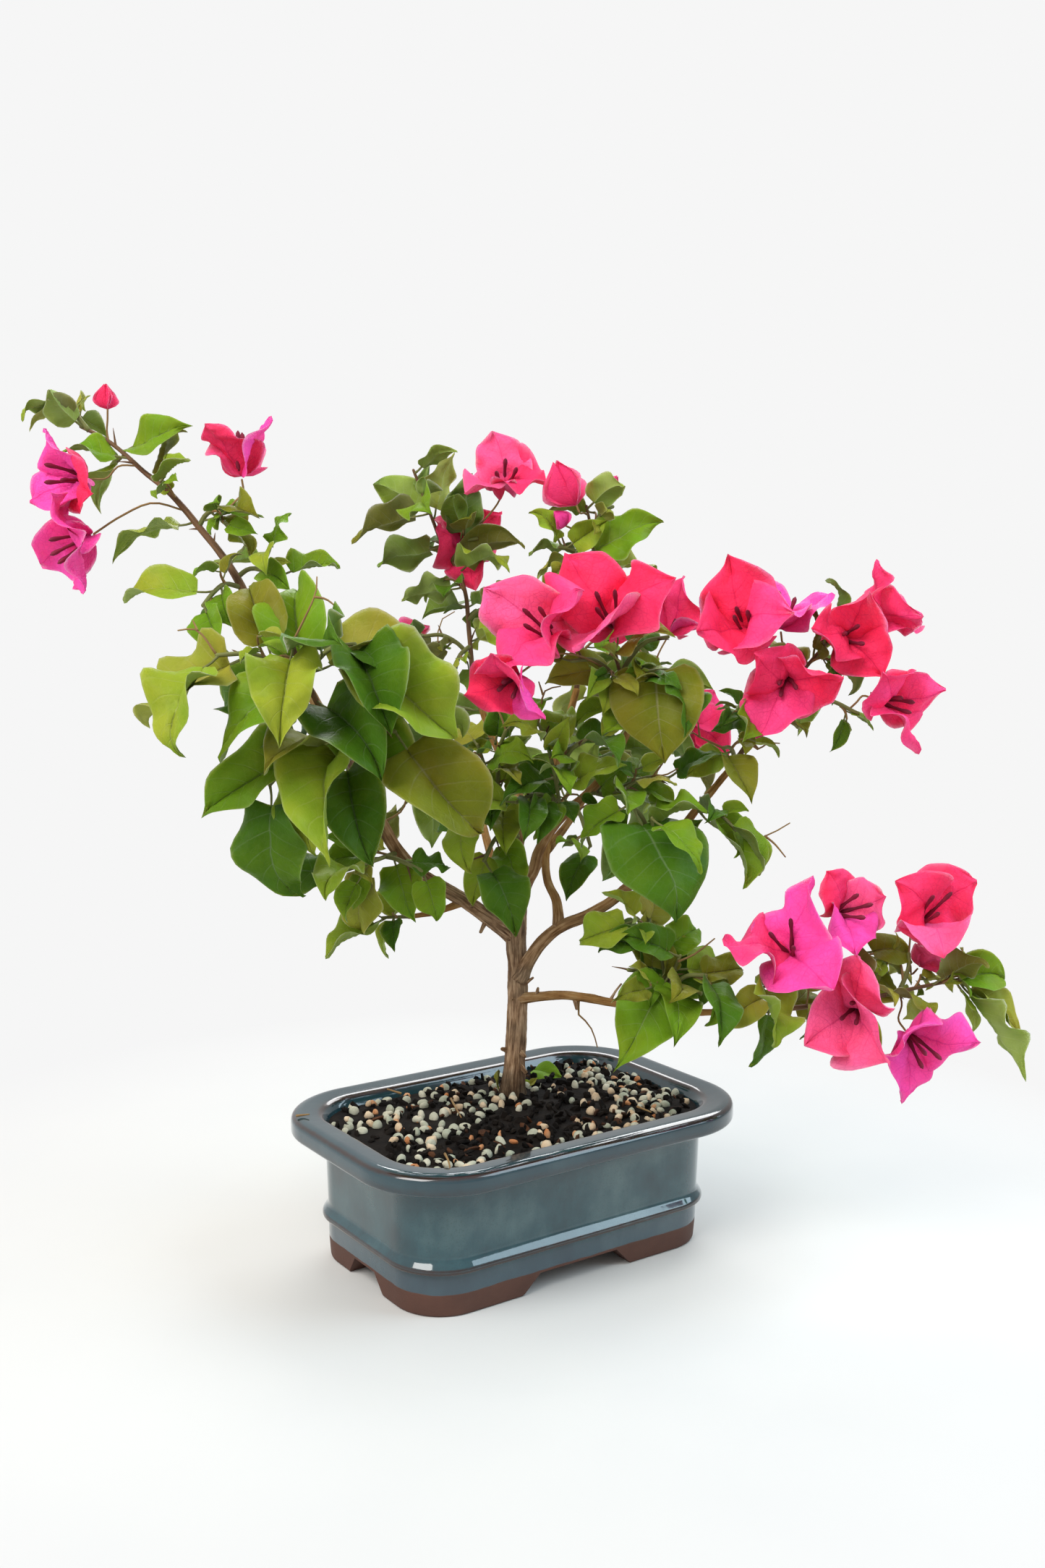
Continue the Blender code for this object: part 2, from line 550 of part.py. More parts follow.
def limb_shape(name, grow=0.0):
    """A tapering bough with a collar at its foot; grow fattens it for a cut."""
    if name == "trunk":
        return trunk_shape(grow)
    path = limb_path(name)
    foot, tip = LIMBS[name].thick
    radii = []
    for k in range(len(path)):
        share = k / (len(path) - 1)
        collar = 1 + 0.16 * math.exp(-share * 9)
        radii.append((foot + (tip - foot) * share) * collar * MM + grow)
    return tube(longer(path, grow) if grow else path, radii, 8)


def nearest(path, point):
    """The point of a path that lies nearest, found on 200 even steps."""
    return min((along(path, k / 200)[0] for k in range(201)), key=lambda p: (p - point).length)


def shoot_path(start, ahead, ends, count):
    """A shoot that leaves along its parent and arches over to its end, or to its last two points."""
    reach = (ends[0] - start).length
    middle = start.lerp(ends[0], 0.45) + ahead * reach * 0.12 + Vector((0, 0, reach * 0.10))
    return smooth_path([start, middle, *ends], count)


def crosses_itself(shape):
    """Whether faces of a shape that don't share a corner cut each other."""
    points, faces, _ = shape
    tree = BVHTree.FromPolygons(points, faces)
    return any(not set(faces[one]) & set(faces[other]) for one, other in tree.overlap(tree))


def out_at(point):
    """The way out of the crown at a point, more to its front or back than to its sides."""
    local = Matrix.Rotation(-FRONT_TURN, 3, "Z") @ (point - FOOT) / MM
    way = Vector((local.x * SIDEWAYS, local.y - OUT_CENTRE, 0)).normalized()
    return Matrix.Rotation(FRONT_TURN, 3, "Z") @ way


def stem_path(name):
    """Where a mass's stem runs: from the middle of its limb to its tip."""
    mass = MASSES[name]
    points = [spot(*place) for place in mass.stem]
    points[0] = nearest(limb_path(mass.limb), points[0])
    return smooth_path(points, max(5, round(path_length(points) / MM / 14) + 1))


def crowded(point, name, stems):
    """Whether a point lies in another mass's space, close round that mass's stem."""
    others = [path for other, path in stems.items() if other != name]
    return any((place - point).length < OWN_SPACE * MM for path in others for place in path)


def put_leaf(node, ahead, turn, length, droop, draw, crowd, stems, name, own):
    """One leaf on its twig, turned on until it has room, or none."""
    side, other = across_of(ahead)
    lean = draw.uniform(*LEAF_LEAN)
    tilt = Vector((draw.uniform(-1, 1), draw.uniform(-1, 1), draw.uniform(-1, 1))) * LEAF_TILT
    curl = draw.uniform(*LEAF_CURL) + droop * length / HEAVY_LEAF
    light = Vector((0, 0, LEAF_LIGHT)) + out_at(node) * LEAF_LIGHT + tilt
    for step in range(TRIES):
        around = turn + TURN_STEP * ((step + 1) // 2) * (-1 if step % 2 else 1)
        out = side * math.cos(around) + other * math.sin(around)
        aim = out * math.sin(lean) + ahead * math.cos(lean)
        aim += DOWN * droop * (LEAF_SAG + length / HEAVY_LEAF)
        aim.normalize()
        face = (light - aim * light.dot(aim)).normalized()
        leaf = Leaf(node, aim, face, length, curl)
        fat = leaf_blade(leaf, CLEAR)
        if not crowded(fat[0][-1], name, stems) and crowd.takes([leaf_shape(leaf)], [fat], name, own):
            return leaf
    return None


def set_leaf(tip, length, twigs, draw, crowd, name):
    """A leaf whose tip has a set place, from the point of the twigs that lies its whole length away."""
    whole = leaf_size(length, 0.0)[0] + length * MM
    choices = []
    for index, twig in enumerate(twigs):
        for step in range(1, 25 if twig else 1):
            node, _ = along(twig[0], step / 24)
            miss = abs((tip - node).length - whole) + max(0.0, tip.z - node.z) * SINK
            choices.append((miss, index, step))
    curl = draw.uniform(*SET_CURL)
    for _, index, step in sorted(choices)[:TRIES]:
        node, _ = along(twigs[index][0], step / 24)
        chord = (tip - node).normalized()
        light = Vector((0, 0, SET_LIGHT)) + out_at(node)
        up = (light - chord * light.dot(chord)).normalized()
        aim = chord * math.cos(curl / 2) + up * math.sin(curl / 2)
        face = up * math.cos(curl / 2) - chord * math.sin(curl / 2)
        leaf = Leaf(node, aim, face, length, curl)
        if crowd.takes([leaf_shape(leaf)], [leaf_blade(leaf, CLEAR)], name, f"{name} {index}"):
            return leaf
    return None


def put_blossom(start, ahead, centre, size, looks, draw, crowd, name, own):
    """One blossom on its thin stalk, turned, shrunk and moved outwards until it has room, or none."""
    stray = Vector((draw.uniform(-1, 1), draw.uniform(-1, 1), draw.uniform(-1, 1))) * STRAY
    turn = draw.uniform(0, 2 * math.pi)
    opening = [math.radians(draw.uniform(*BLOSSOM_OPENING)) for _ in range(3)]
    curl = draw.uniform(*BRACT_CURL)
    heading = (centre - start).normalized()
    axis = ((spot(*looks) - spot(0, 0, 0)).normalized() + stray + heading * LEAN).normalized()
    for step in range(TRIES):
        inner = centre - axis * (KNOB_BELOW if size > 0 else 0.0) * MM
        before = inner - axis * (BLOSSOM_NECK[0] + abs(size) * BLOSSOM_NECK[1]) * MM
        stalk = shoot_path(start, ahead, [before, inner], 4)
        blossom = Blossom(stalk, centre, axis, turn + TURN_STEP * step, size, opening, curl)
        whole = blossom_shapes(blossom)
        if not any(crosses_itself(shape) for shape in whole) \
                and crowd.takes(whole, bract_blades(blossom, CLEAR), name, own):
            return blossom
        size *= BLOSSOM_SHRINK
        centre = centre + out_at(centre) * NUDGE * MM
    return None


def grow_mass(name, crowd, stems):
    """The twigs (path, radii, sides), leaves and blossoms of one mass, its stem first."""
    mass = MASSES[name]
    stem = stems[name]
    foot, tip = mass.thick
    radii = [(foot + (tip - foot) * k / (len(stem) - 1)) * MM for k in range(len(stem))]
    twigs = [(stem, radii, 5)]
    crowd.add(tube(stem, radii, 5), f"{name} 0")
    for index, (start, end, _, _, _) in enumerate(mass.shoots):
        root, ahead = along(stem, start)
        path = shoot_path(root, ahead, [spot(*end)], 4)
        thin = [(TWIG_RADIUS[0] + (TWIG_RADIUS[1] - TWIG_RADIUS[0]) * k / 3) * MM for k in range(4)]
        if crowd.meets(tube(path[1:], thin[1:], 3)):
            twigs.append(None)
            continue
        twigs.append((path, thin, 3))
        crowd.add(tube(path, thin, 3), f"{name} {index + 1}")
    draw = random.Random(f"{name} blossom {mass.seeds[1]}")
    blossoms = []
    for start, place, size, looks in mass.blossom:
        index = int(start) if start > 1 else 0
        if twigs[index]:
            root, ahead = along(twigs[index][0], start - index)
            blossoms.append(put_blossom(root, ahead, spot(*place), size, looks, draw, crowd, name,
                                        f"{name} {index}"))
    draw = random.Random(f"{name} leaf {mass.seeds[0]}")
    leaves = [set_leaf(spot(*tip), length, twigs, draw, crowd, name) for tip, length in mass.tips]
    rows = [(0, mass.leaves[0], STEM_LEAVES_FROM, mass.leaves[1:])]
    for k, (_, _, count, first, last) in enumerate(mass.shoots):
        rows.append((k + 1, count, SHOOT_LEAVES_FROM, (first, (first + last) / 2, last)))
    for index, count, first_at, (low, middle, high) in rows:
        turn = draw.uniform(0, 2 * math.pi)
        for k in range(count if twigs[index] else 0):
            share = k / max(count - 1, 1)
            node, ahead = along(twigs[index][0], first_at + (LEAVES_UP_TO - first_at) * share)
            length = (1 - share) * (1 - 2 * share) * low + 4 * share * (1 - share) * middle \
                + share * (2 * share - 1) * high
            length *= draw.uniform(*LEAF_LENGTHS)
            leaves.append(put_leaf(node, ahead, turn, length, mass.droop, draw, crowd, stems, name,
                                   f"{name} {index}"))
            turn += GOLDEN + draw.uniform(-0.3, 0.3)
    return [twig for twig in twigs if twig], [leaf for leaf in leaves if leaf], \
        [blossom for blossom in blossoms if blossom]


def mass_shapes(twigs, leaves, blossoms):
    """The closed shapes of one mass, its stem first."""
    shapes = [tube(*twig) for twig in twigs]
    shapes += [leaf_shape(leaf) for leaf in leaves]
    for blossom in blossoms:
        shapes += blossom_shapes(blossom)
    return shapes


def clear_scene():
    for thing in list(bpy.data.objects):
        bpy.data.objects.remove(thing, do_unlink=True)
    for mesh in list(bpy.data.meshes):
        bpy.data.meshes.remove(mesh)


def finish(name, color, roughness, metallic=0.0):
    """A plain material of one colour."""
    material = bpy.data.materials.new(name)
    material.use_nodes = True
    shader = material.node_tree.nodes["Principled BSDF"]
    shader.inputs["Base Color"].default_value = (*color, 1.0)
    shader.inputs["Roughness"].default_value = roughness
    shader.inputs["Metallic"].default_value = metallic
    return material


def as_object(name, shape, materials):
    """One mesh object made of triangles, its faces given the shape's kind of material."""
    points, faces, kind = shape
    kinds = kind if isinstance(kind, list) else [kind] * len(faces)
    work = bmesh.new()
    corners = [work.verts.new(point) for point in points]
    for face, face_kind in zip(faces, kinds):
        work.faces.new([corners[k] for k in face]).material_index = face_kind
    bmesh.ops.triangulate(work, faces=work.faces)
    mesh = bpy.data.meshes.new(name)
    work.to_mesh(mesh)
    work.free()
    for material in materials:
        mesh.materials.append(material)
    thing = bpy.data.objects.new(name, mesh)
    bpy.context.scene.collection.objects.link(thing)
    return thing


def settle(thing, operation, others):
    """Join or cut an object with a list of others, keep the result's one body, and drop the others."""
    group = bpy.data.collections.new(thing.name + "_group")
    bpy.context.scene.collection.children.link(group)
    for other in others:
        bpy.context.scene.collection.objects.unlink(other)
        group.objects.link(other)
    boolean = thing.modifiers.new("join", "BOOLEAN")
    boolean.operation = operation
    boolean.operand_type = "COLLECTION"
    boolean.collection = group
    boolean.use_self = operation == "UNION"
    for solver in ("EXACT", "MANIFOLD"):
        boolean.solver = solver
        bpy.context.view_layer.update()
        ready = bpy.data.meshes.new_from_object(thing.evaluated_get(bpy.context.evaluated_depsgraph_get()))
        if keep_one_body(ready):
            break
    thing.modifiers.remove(boolean)
    thing.data = ready
    for other in others:
        bpy.data.objects.remove(other, do_unlink=True)
    bpy.data.collections.remove(group)


def cleaned(mesh, weld):
    """A mesh's triangles with near points welded and flat seams dissolved, as a bmesh."""
    work = bmesh.new()
    work.from_mesh(mesh)
    if weld:
        bmesh.ops.remove_doubles(work, verts=work.verts, dist=weld)
        bmesh.ops.dissolve_degenerate(work, edges=work.edges, dist=weld / 2)
    bmesh.ops.dissolve_limit(work, angle_limit=math.radians(FLAT_ANGLE), verts=work.verts, edges=work.edges)
    bmesh.ops.triangulate(work, faces=work.faces)
    return work


def keep_one_body(mesh):
    """Clean a mesh, welding it where that leaves it closed, and keep its largest shell; is it closed?"""
    for weld in (WELD, 0.0):
        work = cleaned(mesh, weld)
        closed = all(edge.is_manifold for edge in work.edges)
        if closed or not weld:
            break
        work.free()
    seen = set()
    shells = []
    for start in work.verts:
        if start in seen:
            continue
        seen.add(start)
        shell = [start]
        for vert in shell:
            for edge in vert.link_edges:
                other = edge.other_vert(vert)
                if other not in seen:
                    seen.add(other)
                    shell.append(other)
        shells.append(shell)
    shells.sort(key=len)
    loose = [vert for shell in shells[:-1] for vert in shell]
    bmesh.ops.delete(work, geom=loose, context="VERTS")
    work.to_mesh(mesh)
    work.free()
    return closed


def rounded_ring(inset, high):
    """The pot's outline with rounded corners, so far in from the lip's edge, at a height."""
    corner = max(RIM_CORNER - inset, 6.0)
    points = []
    for quarter, (sx, sy) in enumerate(((1, 1), (-1, 1), (-1, -1), (1, -1))):
        for step in range(CORNER_STEPS + 1):
            turn = math.radians(90 * (quarter + step / CORNER_STEPS))
            points.append(Vector(((RIM_LENGTH / 2 - inset - corner) * sx + corner * math.cos(turn),
                                  (RIM_WIDTH / 2 - inset - corner) * sy + corner * math.sin(turn),
                                  high)) * MM)
    return points


def loft(rings):
    """A closed shape through rings of one count, from the first ring's cap to the last's."""
    size = len(rings[0])
    points = [point for ring in rings for point in ring]
    faces = [tuple(reversed(range(size)))]
    for k in range(len(rings) - 1):
        for j in range(size):
            a = k * size + j
            b = k * size + (j + 1) % size
            faces.append((a, b, b + size, a + size))
    faces.append(tuple(range(len(points) - size, len(points))))
    return points, faces, 0


def inner_wall():
    """The pot's inner profile from the lip down to the floor: (inset, height)."""
    wall = BODY_INSET + WALL
    return [(LIP_INNER + 1.4, SOIL_EDGE + 3.0), (LIP_INNER + 4.0, SOIL_EDGE - 1.5), (wall - 1.0, 57.0),
            (wall, 46.0), (wall + 0.6, FLOOR_HIGH + 3.0), (wall + 4.0, FLOOR_HIGH)]


def pot_shape():
    """The pot turned from one profile: foot ring, body, band, cove, lip, inner wall and floor."""
    under = POT_HEIGHT - LIP_THICK
    profile = [(BODY_INSET + FOOT_THICK + 1.5, FOOT_HEIGHT), (BODY_INSET + FOOT_THICK, 0.0),
               (BODY_INSET + 1.4, 0.0), (BODY_INSET + 0.5, FOOT_HEIGHT + 2),
               (BODY_INSET + 0.3, BAND_LOW), (BODY_INSET - BAND_PROUD, BAND_LOW + 1.4),
               (BODY_INSET - BAND_PROUD, BAND_HIGH - 1.4), (BODY_INSET, BAND_HIGH),
               (BODY_INSET - 1.0, under - 4.0), (BODY_INSET - 6.0, under - 0.9),
               (3.0, under), (0.7, under + 1.6), (0.0, under + 4.6), (1.3, POT_HEIGHT - 1.4),
               (5.0, POT_HEIGHT), (LIP_INNER - 1.0, POT_HEIGHT - 1.2), *inner_wall()]
    return loft([rounded_ring(inset, high) for inset, high in profile])


def prism(outline, axis, reach):
    """A prism of a four-cornered outline (sideways, high), run both ways along X or Y."""
    points = []
    for way in (-reach, reach):
        for sideways, high in outline:
            points.append(Vector((way, sideways, high) if axis == "X" else (sideways, -way, high)) * MM)
    faces = [(3, 2, 1, 0), (4, 5, 6, 7)]
    faces += [(j, (j + 1) % 4, 4 + (j + 1) % 4, 4 + j) for j in range(4)]
    return points, faces, 0


def foot_gap(low_half, high_half):
    """The outline of a gap between two feet, wider at the table than at its top."""
    slope = (low_half - high_half) / GAP_HIGH
    below = [(-low_half - slope, -1.0), (low_half + slope, -1.0)]
    return [*below, (high_half, GAP_HIGH), (-high_half, GAP_HIGH)]


def make_pot(glaze):
    pot = as_object("pot", pot_shape(), [glaze])
    cutters = [as_object("gap_long", prism(foot_gap(*GAP_LONG), "Y", RIM_WIDTH), [glaze]),
               as_object("gap_short", prism(foot_gap(*GAP_SHORT), "X", RIM_LENGTH), [glaze])]
    for way in (-1, 1):
        path = [Vector((way * DRAIN_APART, 0, high)) * MM for high in (FOOT_HEIGHT - 4, FLOOR_HIGH + 4)]
        cutters.append(as_object("drain", tube(path, [DRAIN_RADIUS * MM] * 2, 16), [glaze]))
    settle(pot, "DIFFERENCE", cutters)
    return pot


def soil_shape():
    """The soil: it fills the pot up to a little under the lip and mounds up to the trunk."""
    draw = random.Random("soil")
    gap = CLEAR / MM
    rings = []
    for inset, high in reversed(inner_wall()[1:]):
        rings.append(rounded_ring(inset + gap, max(high, FLOOR_HIGH + gap)))
    edge = rounded_ring(LIP_INNER + 3.0 + gap, SOIL_EDGE)
    rings.append(edge)
    centre = Vector((FOOT.x, FOOT.y, SOIL_TOP * MM))
    for share in (0.24, 0.5, 0.76, 1.0):
        ring = []
        for point in edge:
            out = Vector((point.x - centre.x, point.y - centre.y, 0))
            flat = centre + out.normalized() * SOIL_FLAT * MM
            place = point.lerp(flat, share)
            place.z = (SOIL_EDGE + (SOIL_TOP - SOIL_EDGE) * math.sin(share * math.pi / 2)) * MM
            if share < 1:
                place.z += draw.uniform(-1, 1) * SOIL_ROUGH * MM
            ring.append(place)
        rings.append(ring)
    return loft(rings)


def make_limbs(bark):
    """Each limb in turn, cut clear of every limb that was made before it."""
    made = []
    for name in LIMBS:
        shape = limb_shape(name)
        crowd = Crowd()
        for earlier in made:
            crowd.add(limb_shape(earlier, CLEAR), earlier)
        thing = as_object(name, shape, [bark])
        near = [owner for *_, owner in crowd.grown if crowd.meets(shape, [n for n in made if n != owner])]
        if near:
            settle(thing, "DIFFERENCE", [as_object("cut_" + n, limb_shape(n, CLEAR), [bark]) for n in near])
        made.append(name)


def make_masses(materials):
    """Each mass in turn: its stem cut clear of the limbs, then its twigs, leaves and blossom fused on."""
    crowd = Crowd()
    for limb in LIMBS:
        crowd.add(limb_shape(limb, CLEAR), limb)
    stems = {name: stem_path(name) for name in MASSES}
    for name in MASSES:
        shapes = mass_shapes(*grow_mass(name, crowd, stems))
        stem = as_object(name, shapes[0], materials)
        owners = [owner for *_, owner in crowd.grown]
        near = [n for n in LIMBS if crowd.meets(shapes[0], [owner for owner in owners if owner != n])]
        if near:
            settle(stem, "DIFFERENCE", [as_object("cut_" + n, limb_shape(n, CLEAR), materials) for n in near])
        parts = [as_object(f"{name}_{k}", shape, materials) for k, shape in enumerate(shapes[1:])]
        settle(stem, "UNION", parts)


def stand_on_origin():
    """Move everything so that the origin lies under the middle of the whole outline."""
    meshes = [thing.data for thing in bpy.data.objects]
    points = [vert.co for mesh in meshes for vert in mesh.vertices]
    middle = [(min(p[k] for p in points) + max(p[k] for p in points)) / 2 for k in range(2)]
    for mesh in meshes:
        mesh.transform(Matrix.Translation((-middle[0], -middle[1], 0)))


def main():
    clear_scene()
    glaze = finish("blue_glaze", (0.075, 0.13, 0.15), 0.12)
    earth = finish("dark_soil", (0.03, 0.02, 0.015), 0.9)
    bark = finish("tan_bark", (0.24, 0.15, 0.09), 0.85)
    twig = finish("green_twig", (0.20, 0.16, 0.05), 0.7)
    green = finish("green_leaf", (0.10, 0.22, 0.02), 0.45)
    pink = finish("pink_bract", (0.85, 0.04, 0.16), 0.55)
    pot = make_pot(glaze)
    as_object("soil", soil_shape(), [earth])
    make_limbs(bark)
    make_masses([twig, green, pink])
    for thing in bpy.data.objects:
        if thing is pot or thing.name in LIMBS:
            thing.data.shade_smooth()
            thing.data.set_sharp_from_angle(angle=math.radians(SHARP_ANGLE))
    stand_on_origin()


main()
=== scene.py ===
"""Bougainvillea bonsai in its glazed pot: the looks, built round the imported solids.

Twigs, leaves and blossom grow by the source's own rule from the same tables and seeds, so every leaf and
bract lies where the solids have it; finer twigs with small leaves then fill in between them. A place on the
plant is given in millimetres from the foot of the trunk, as the plant's own front shows it: across to the
right, near towards the viewer, and high above the soil.
"""

import math
import random
from collections import namedtuple

import bpy
import numpy as np
from mathutils import Matrix, Vector, noise
from mathutils.bvhtree import BVHTree


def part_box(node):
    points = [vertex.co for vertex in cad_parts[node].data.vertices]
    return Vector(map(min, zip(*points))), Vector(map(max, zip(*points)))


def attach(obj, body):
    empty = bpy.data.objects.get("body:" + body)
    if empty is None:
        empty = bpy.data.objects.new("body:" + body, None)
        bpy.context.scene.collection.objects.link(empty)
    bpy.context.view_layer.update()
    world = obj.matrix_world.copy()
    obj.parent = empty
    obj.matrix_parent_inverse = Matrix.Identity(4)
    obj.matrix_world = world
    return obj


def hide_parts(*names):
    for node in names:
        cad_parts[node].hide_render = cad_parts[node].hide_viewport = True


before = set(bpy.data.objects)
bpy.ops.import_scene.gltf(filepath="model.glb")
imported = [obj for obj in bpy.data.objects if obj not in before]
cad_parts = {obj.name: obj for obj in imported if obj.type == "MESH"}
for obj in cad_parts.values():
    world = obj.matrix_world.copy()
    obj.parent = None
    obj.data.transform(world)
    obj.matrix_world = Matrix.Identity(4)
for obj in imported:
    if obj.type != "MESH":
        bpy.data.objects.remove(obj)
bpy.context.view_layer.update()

MM = 0.001
CLEAR = 0.3 * MM

# The middle of the pot, round which the source builds the plant before it moves everything to the origin.
POT_LOW, POT_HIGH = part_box("pot")
MIDDLE = Vector(((POT_LOW.x + POT_HIGH.x) / 2, (POT_LOW.y + POT_HIGH.y) / 2, 0))
# The pot, in millimetres: an eight-inch oval-cornered pot with a broad lip on four bracket feet.
RIM_LENGTH = 203.0
RIM_WIDTH = 139.0
RIM_CORNER = 42.0
POT_HEIGHT = 71.0
LIP_THICK = 10.0
WALL = 6.0
BODY_INSET = 17.0
LIP_INNER = 15.0
BAND_LOW = 20.0
BAND_HIGH = 26.0
BAND_PROUD = 2.5
FOOT_HEIGHT = 9.0
FOOT_THICK = 11.0
FLOOR_HIGH = 14.0
GAP_LONG = (31.5, 22.0)
GAP_SHORT = (16.0, 9.0)
GAP_HIGH = 9.4
DRAIN_RADIUS = 7.0
DRAIN_APART = 38.0

# The soil, a low mound that rises to the trunk.
SOIL_EDGE = 64.5
SOIL_TOP = 66.7

# The plant's foot on the soil, and how far its front is turned from the pot's long side.
FOOT = Vector((11.5, 19.0, 67.0)) * MM
FRONT_TURN = math.radians(-35.2)

# The trunk's girth: its taper, its flare at the soil and its swelling under the fork.
TRUNK_TOP = 105.0
TRUNK_RADIUS = 4.55
TRUNK_TAPER = 0.6
FLARE = 1.9
FLARE_HIGH = 8.0
SWELL = 0.5
SWELL_HIGH = 86.0
SWELL_SPREAD = 9.0

# Leaves, bracts and twigs.
GOLDEN = math.radians(137.5)
TURN_STEP = math.radians(47.0)
TRIES = 9
LEAF_STALK = 0.22
LEAF_STALK_MOST = 9.0
STALK_RADIUS = 0.55
LEAF_WIDTH = 0.76
LEAF_FOLD = 0.22
LEAF_THICK = 0.9
LEAF_LEAN = (0.75, 1.05)
LEAF_TILT = 0.22
LEAF_CURL = (0.35, 0.75)
SET_CURL = (0.3, 0.6)
LEAF_LIGHT = 0.75
SET_LIGHT = 0.6
HEAVY_LEAF = 60.0
LEAF_SAG = 0.35
BIG_LEAF = 30.0
BRACT_WIDTH = 0.86
TWIG_RADIUS = (1.2, 0.95)
FLOWER_STALK = 0.7
BRACT_LOW = 0.34
BRACT_HIGH = 0.70
BRACT_FOLD = 0.10
BRACT_CURL = (0.1, 0.6)
BLOSSOM_OPENING = (36, 66)
BLOSSOM_NECK = (1.5, 0.15)
BLOSSOM_SHRINK = 0.96
BUD_GIRTH = 0.34
KNOB = 1.3
KNOB_BELOW = 2.08
OWN_SPACE = 6.0
SIDEWAYS = 0.55
SINK = 0.3
STRAY = 0.25
LEAN = 0.45
NUDGE = 1.2
OUT_CENTRE = 20.0
STEM_LEAVES_FROM = 0.16
SHOOT_LEAVES_FROM = 0.45
LEAVES_UP_TO = 0.985
LEAF_LENGTHS = (0.9, 1.12)
DOWN = Vector((0, 0, -1))
UPWARD = Vector((0, 0, 1))
# The way that a blossom looks when it faces the sky.
UP = (0, 0, 1)

# How finely the source's rule steps and cuts: places along a curve, steps along a limb and a stem in
# millimetres, rings of the trunk, and the sides of a limb, a stem and a twig.
CURVE_STEPS = 12
LIMB_STEP = 13
STEM_STEP = 14
TRUNK_RINGS = 17
TRUNK_FACETS = 10
BOUGH_FACETS = 8
STEM_FACETS = 5
TWIG_FACETS = 3
# How far the three roots swell, and a bough's collar at its foot and how fast it fades.
ROOT_LOBES = 0.10
BOUGH_COLLAR = 0.16
COLLAR_FADE = 9
# A shoot's middle: its share of the way, how far it keeps to its parent's way, and its lift.
SHOOT_BEND = 0.45
SHOOT_AHEAD = 0.12
SHOOT_LIFT = 0.10
# Steps along a limb in search of the nearest place, places on a stem for leaves, and a leaf's stray turn.
NEAR_STEPS = 200
NODES = 24
TURN_STRAY = 0.3
# Where a blade has its rings: the share of its length, and its width there as a share of its own.
BIG_LEAF_STATIONS = ((0.24, 1.02), (0.60, 0.86))
LEAF_STATIONS = ((0.36, 1.12),)
BRACT_LOW_WIDE = 0.84
BRACT_HIGH_WIDE = 0.94
BRACT_ROOM = 1.5
# A closed bud: its girth at shares of its length.
BUD_PROFILE = ((-0.06, 0.25), (0.16, 0.80), (0.5, 1.0), (0.82, 0.60), (1.0, 0.10))
# The kinds of a solid in the rule.
TWIG, LEAF, BRACT = range(3)

Limb = namedtuple("Limb", "parent thick path")
Mass = namedtuple("Mass", "limb seeds thick leaves droop stem shoots blossom tips",
                  defaults=((), (), ()))
Leaf = namedtuple("Leaf", "node aim face length curl")
Blossom = namedtuple("Blossom", "stalk centre axis turn size opening curl")

# Each limb: its parent, its radius at the foot and at the tip, and the places that it runs through.
LIMBS = {
    "trunk": Limb(None, (0, 0), [(0, 0, 0), (1, 0, 20), (2, 0, 42), (2, 0, 64), (1, 1, 82), (2, 0, 105)]),
    "bough_left": Limb("trunk", (3.7, 2.0), [
        (1, 0, 80), (-12, 4, 90), (-23, 8, 99), (-38, 18, 110), (-54, 32, 127), (-73, 44, 166),
        (-92, 46, 201), (-109, 42, 226), (-121, 38, 243)]),
    "bough_centre": Limb("trunk", (3.1, 1.5), [
        (2, 0, 103), (1, -4, 117), (2, -6, 126), (7, -9, 139), (16, -10, 153), (24, -12, 179),
        (30, -12, 201)]),
    "bough_top_left": Limb("bough_centre", (2.2, 1.3), [
        (6, -8, 136), (0, -20, 153), (-8, -30, 168), (-16, -38, 186), (-22, -42, 206)]),
    "bough_right": Limb("trunk", (2.9, 1.4), [
        (2, 1, 103), (9, 4, 113), (13, 10, 127), (22, 13, 141), (32, 14, 150), (45, 18, 166),
        (54, 22, 185)]),
    "bough_right_middle": Limb("trunk", (3.3, 1.5), [
        (3, 1, 60), (12, 8, 77), (23, 12, 88), (43, 18, 99), (67, 18, 121), (87, 12, 145),
        (103, 8, 164)]),
    "bough_inner_right": Limb("bough_right_middle", (2.3, 1.2), [
        (22, 11, 87), (21, 6, 98), (16, -6, 109), (17, -26, 122), (24, -46, 139)]),
    "bough_low_right": Limb("trunk", (2.3, 1.4), [
        (1, 1, 49), (25, 12, 54), (45, 20, 53), (76, 26, 50), (114, 26, 50)]),
    "bough_low_left": Limb("bough_left", (1.5, 1.1), [(-25, 9, 99), (-37, 14, 95), (-50, 20, 94)]),
    "bough_back_left": Limb("trunk", (2.6, 1.5), [
        (1, -1, 93), (-10, -30, 109), (-18, -58, 131), (-26, -76, 146)]),
    "bough_back_right": Limb("trunk", (2.6, 1.5), [
        (3, -1, 100), (13, -24, 114), (30, -54, 132), (43, -78, 150)]),
}

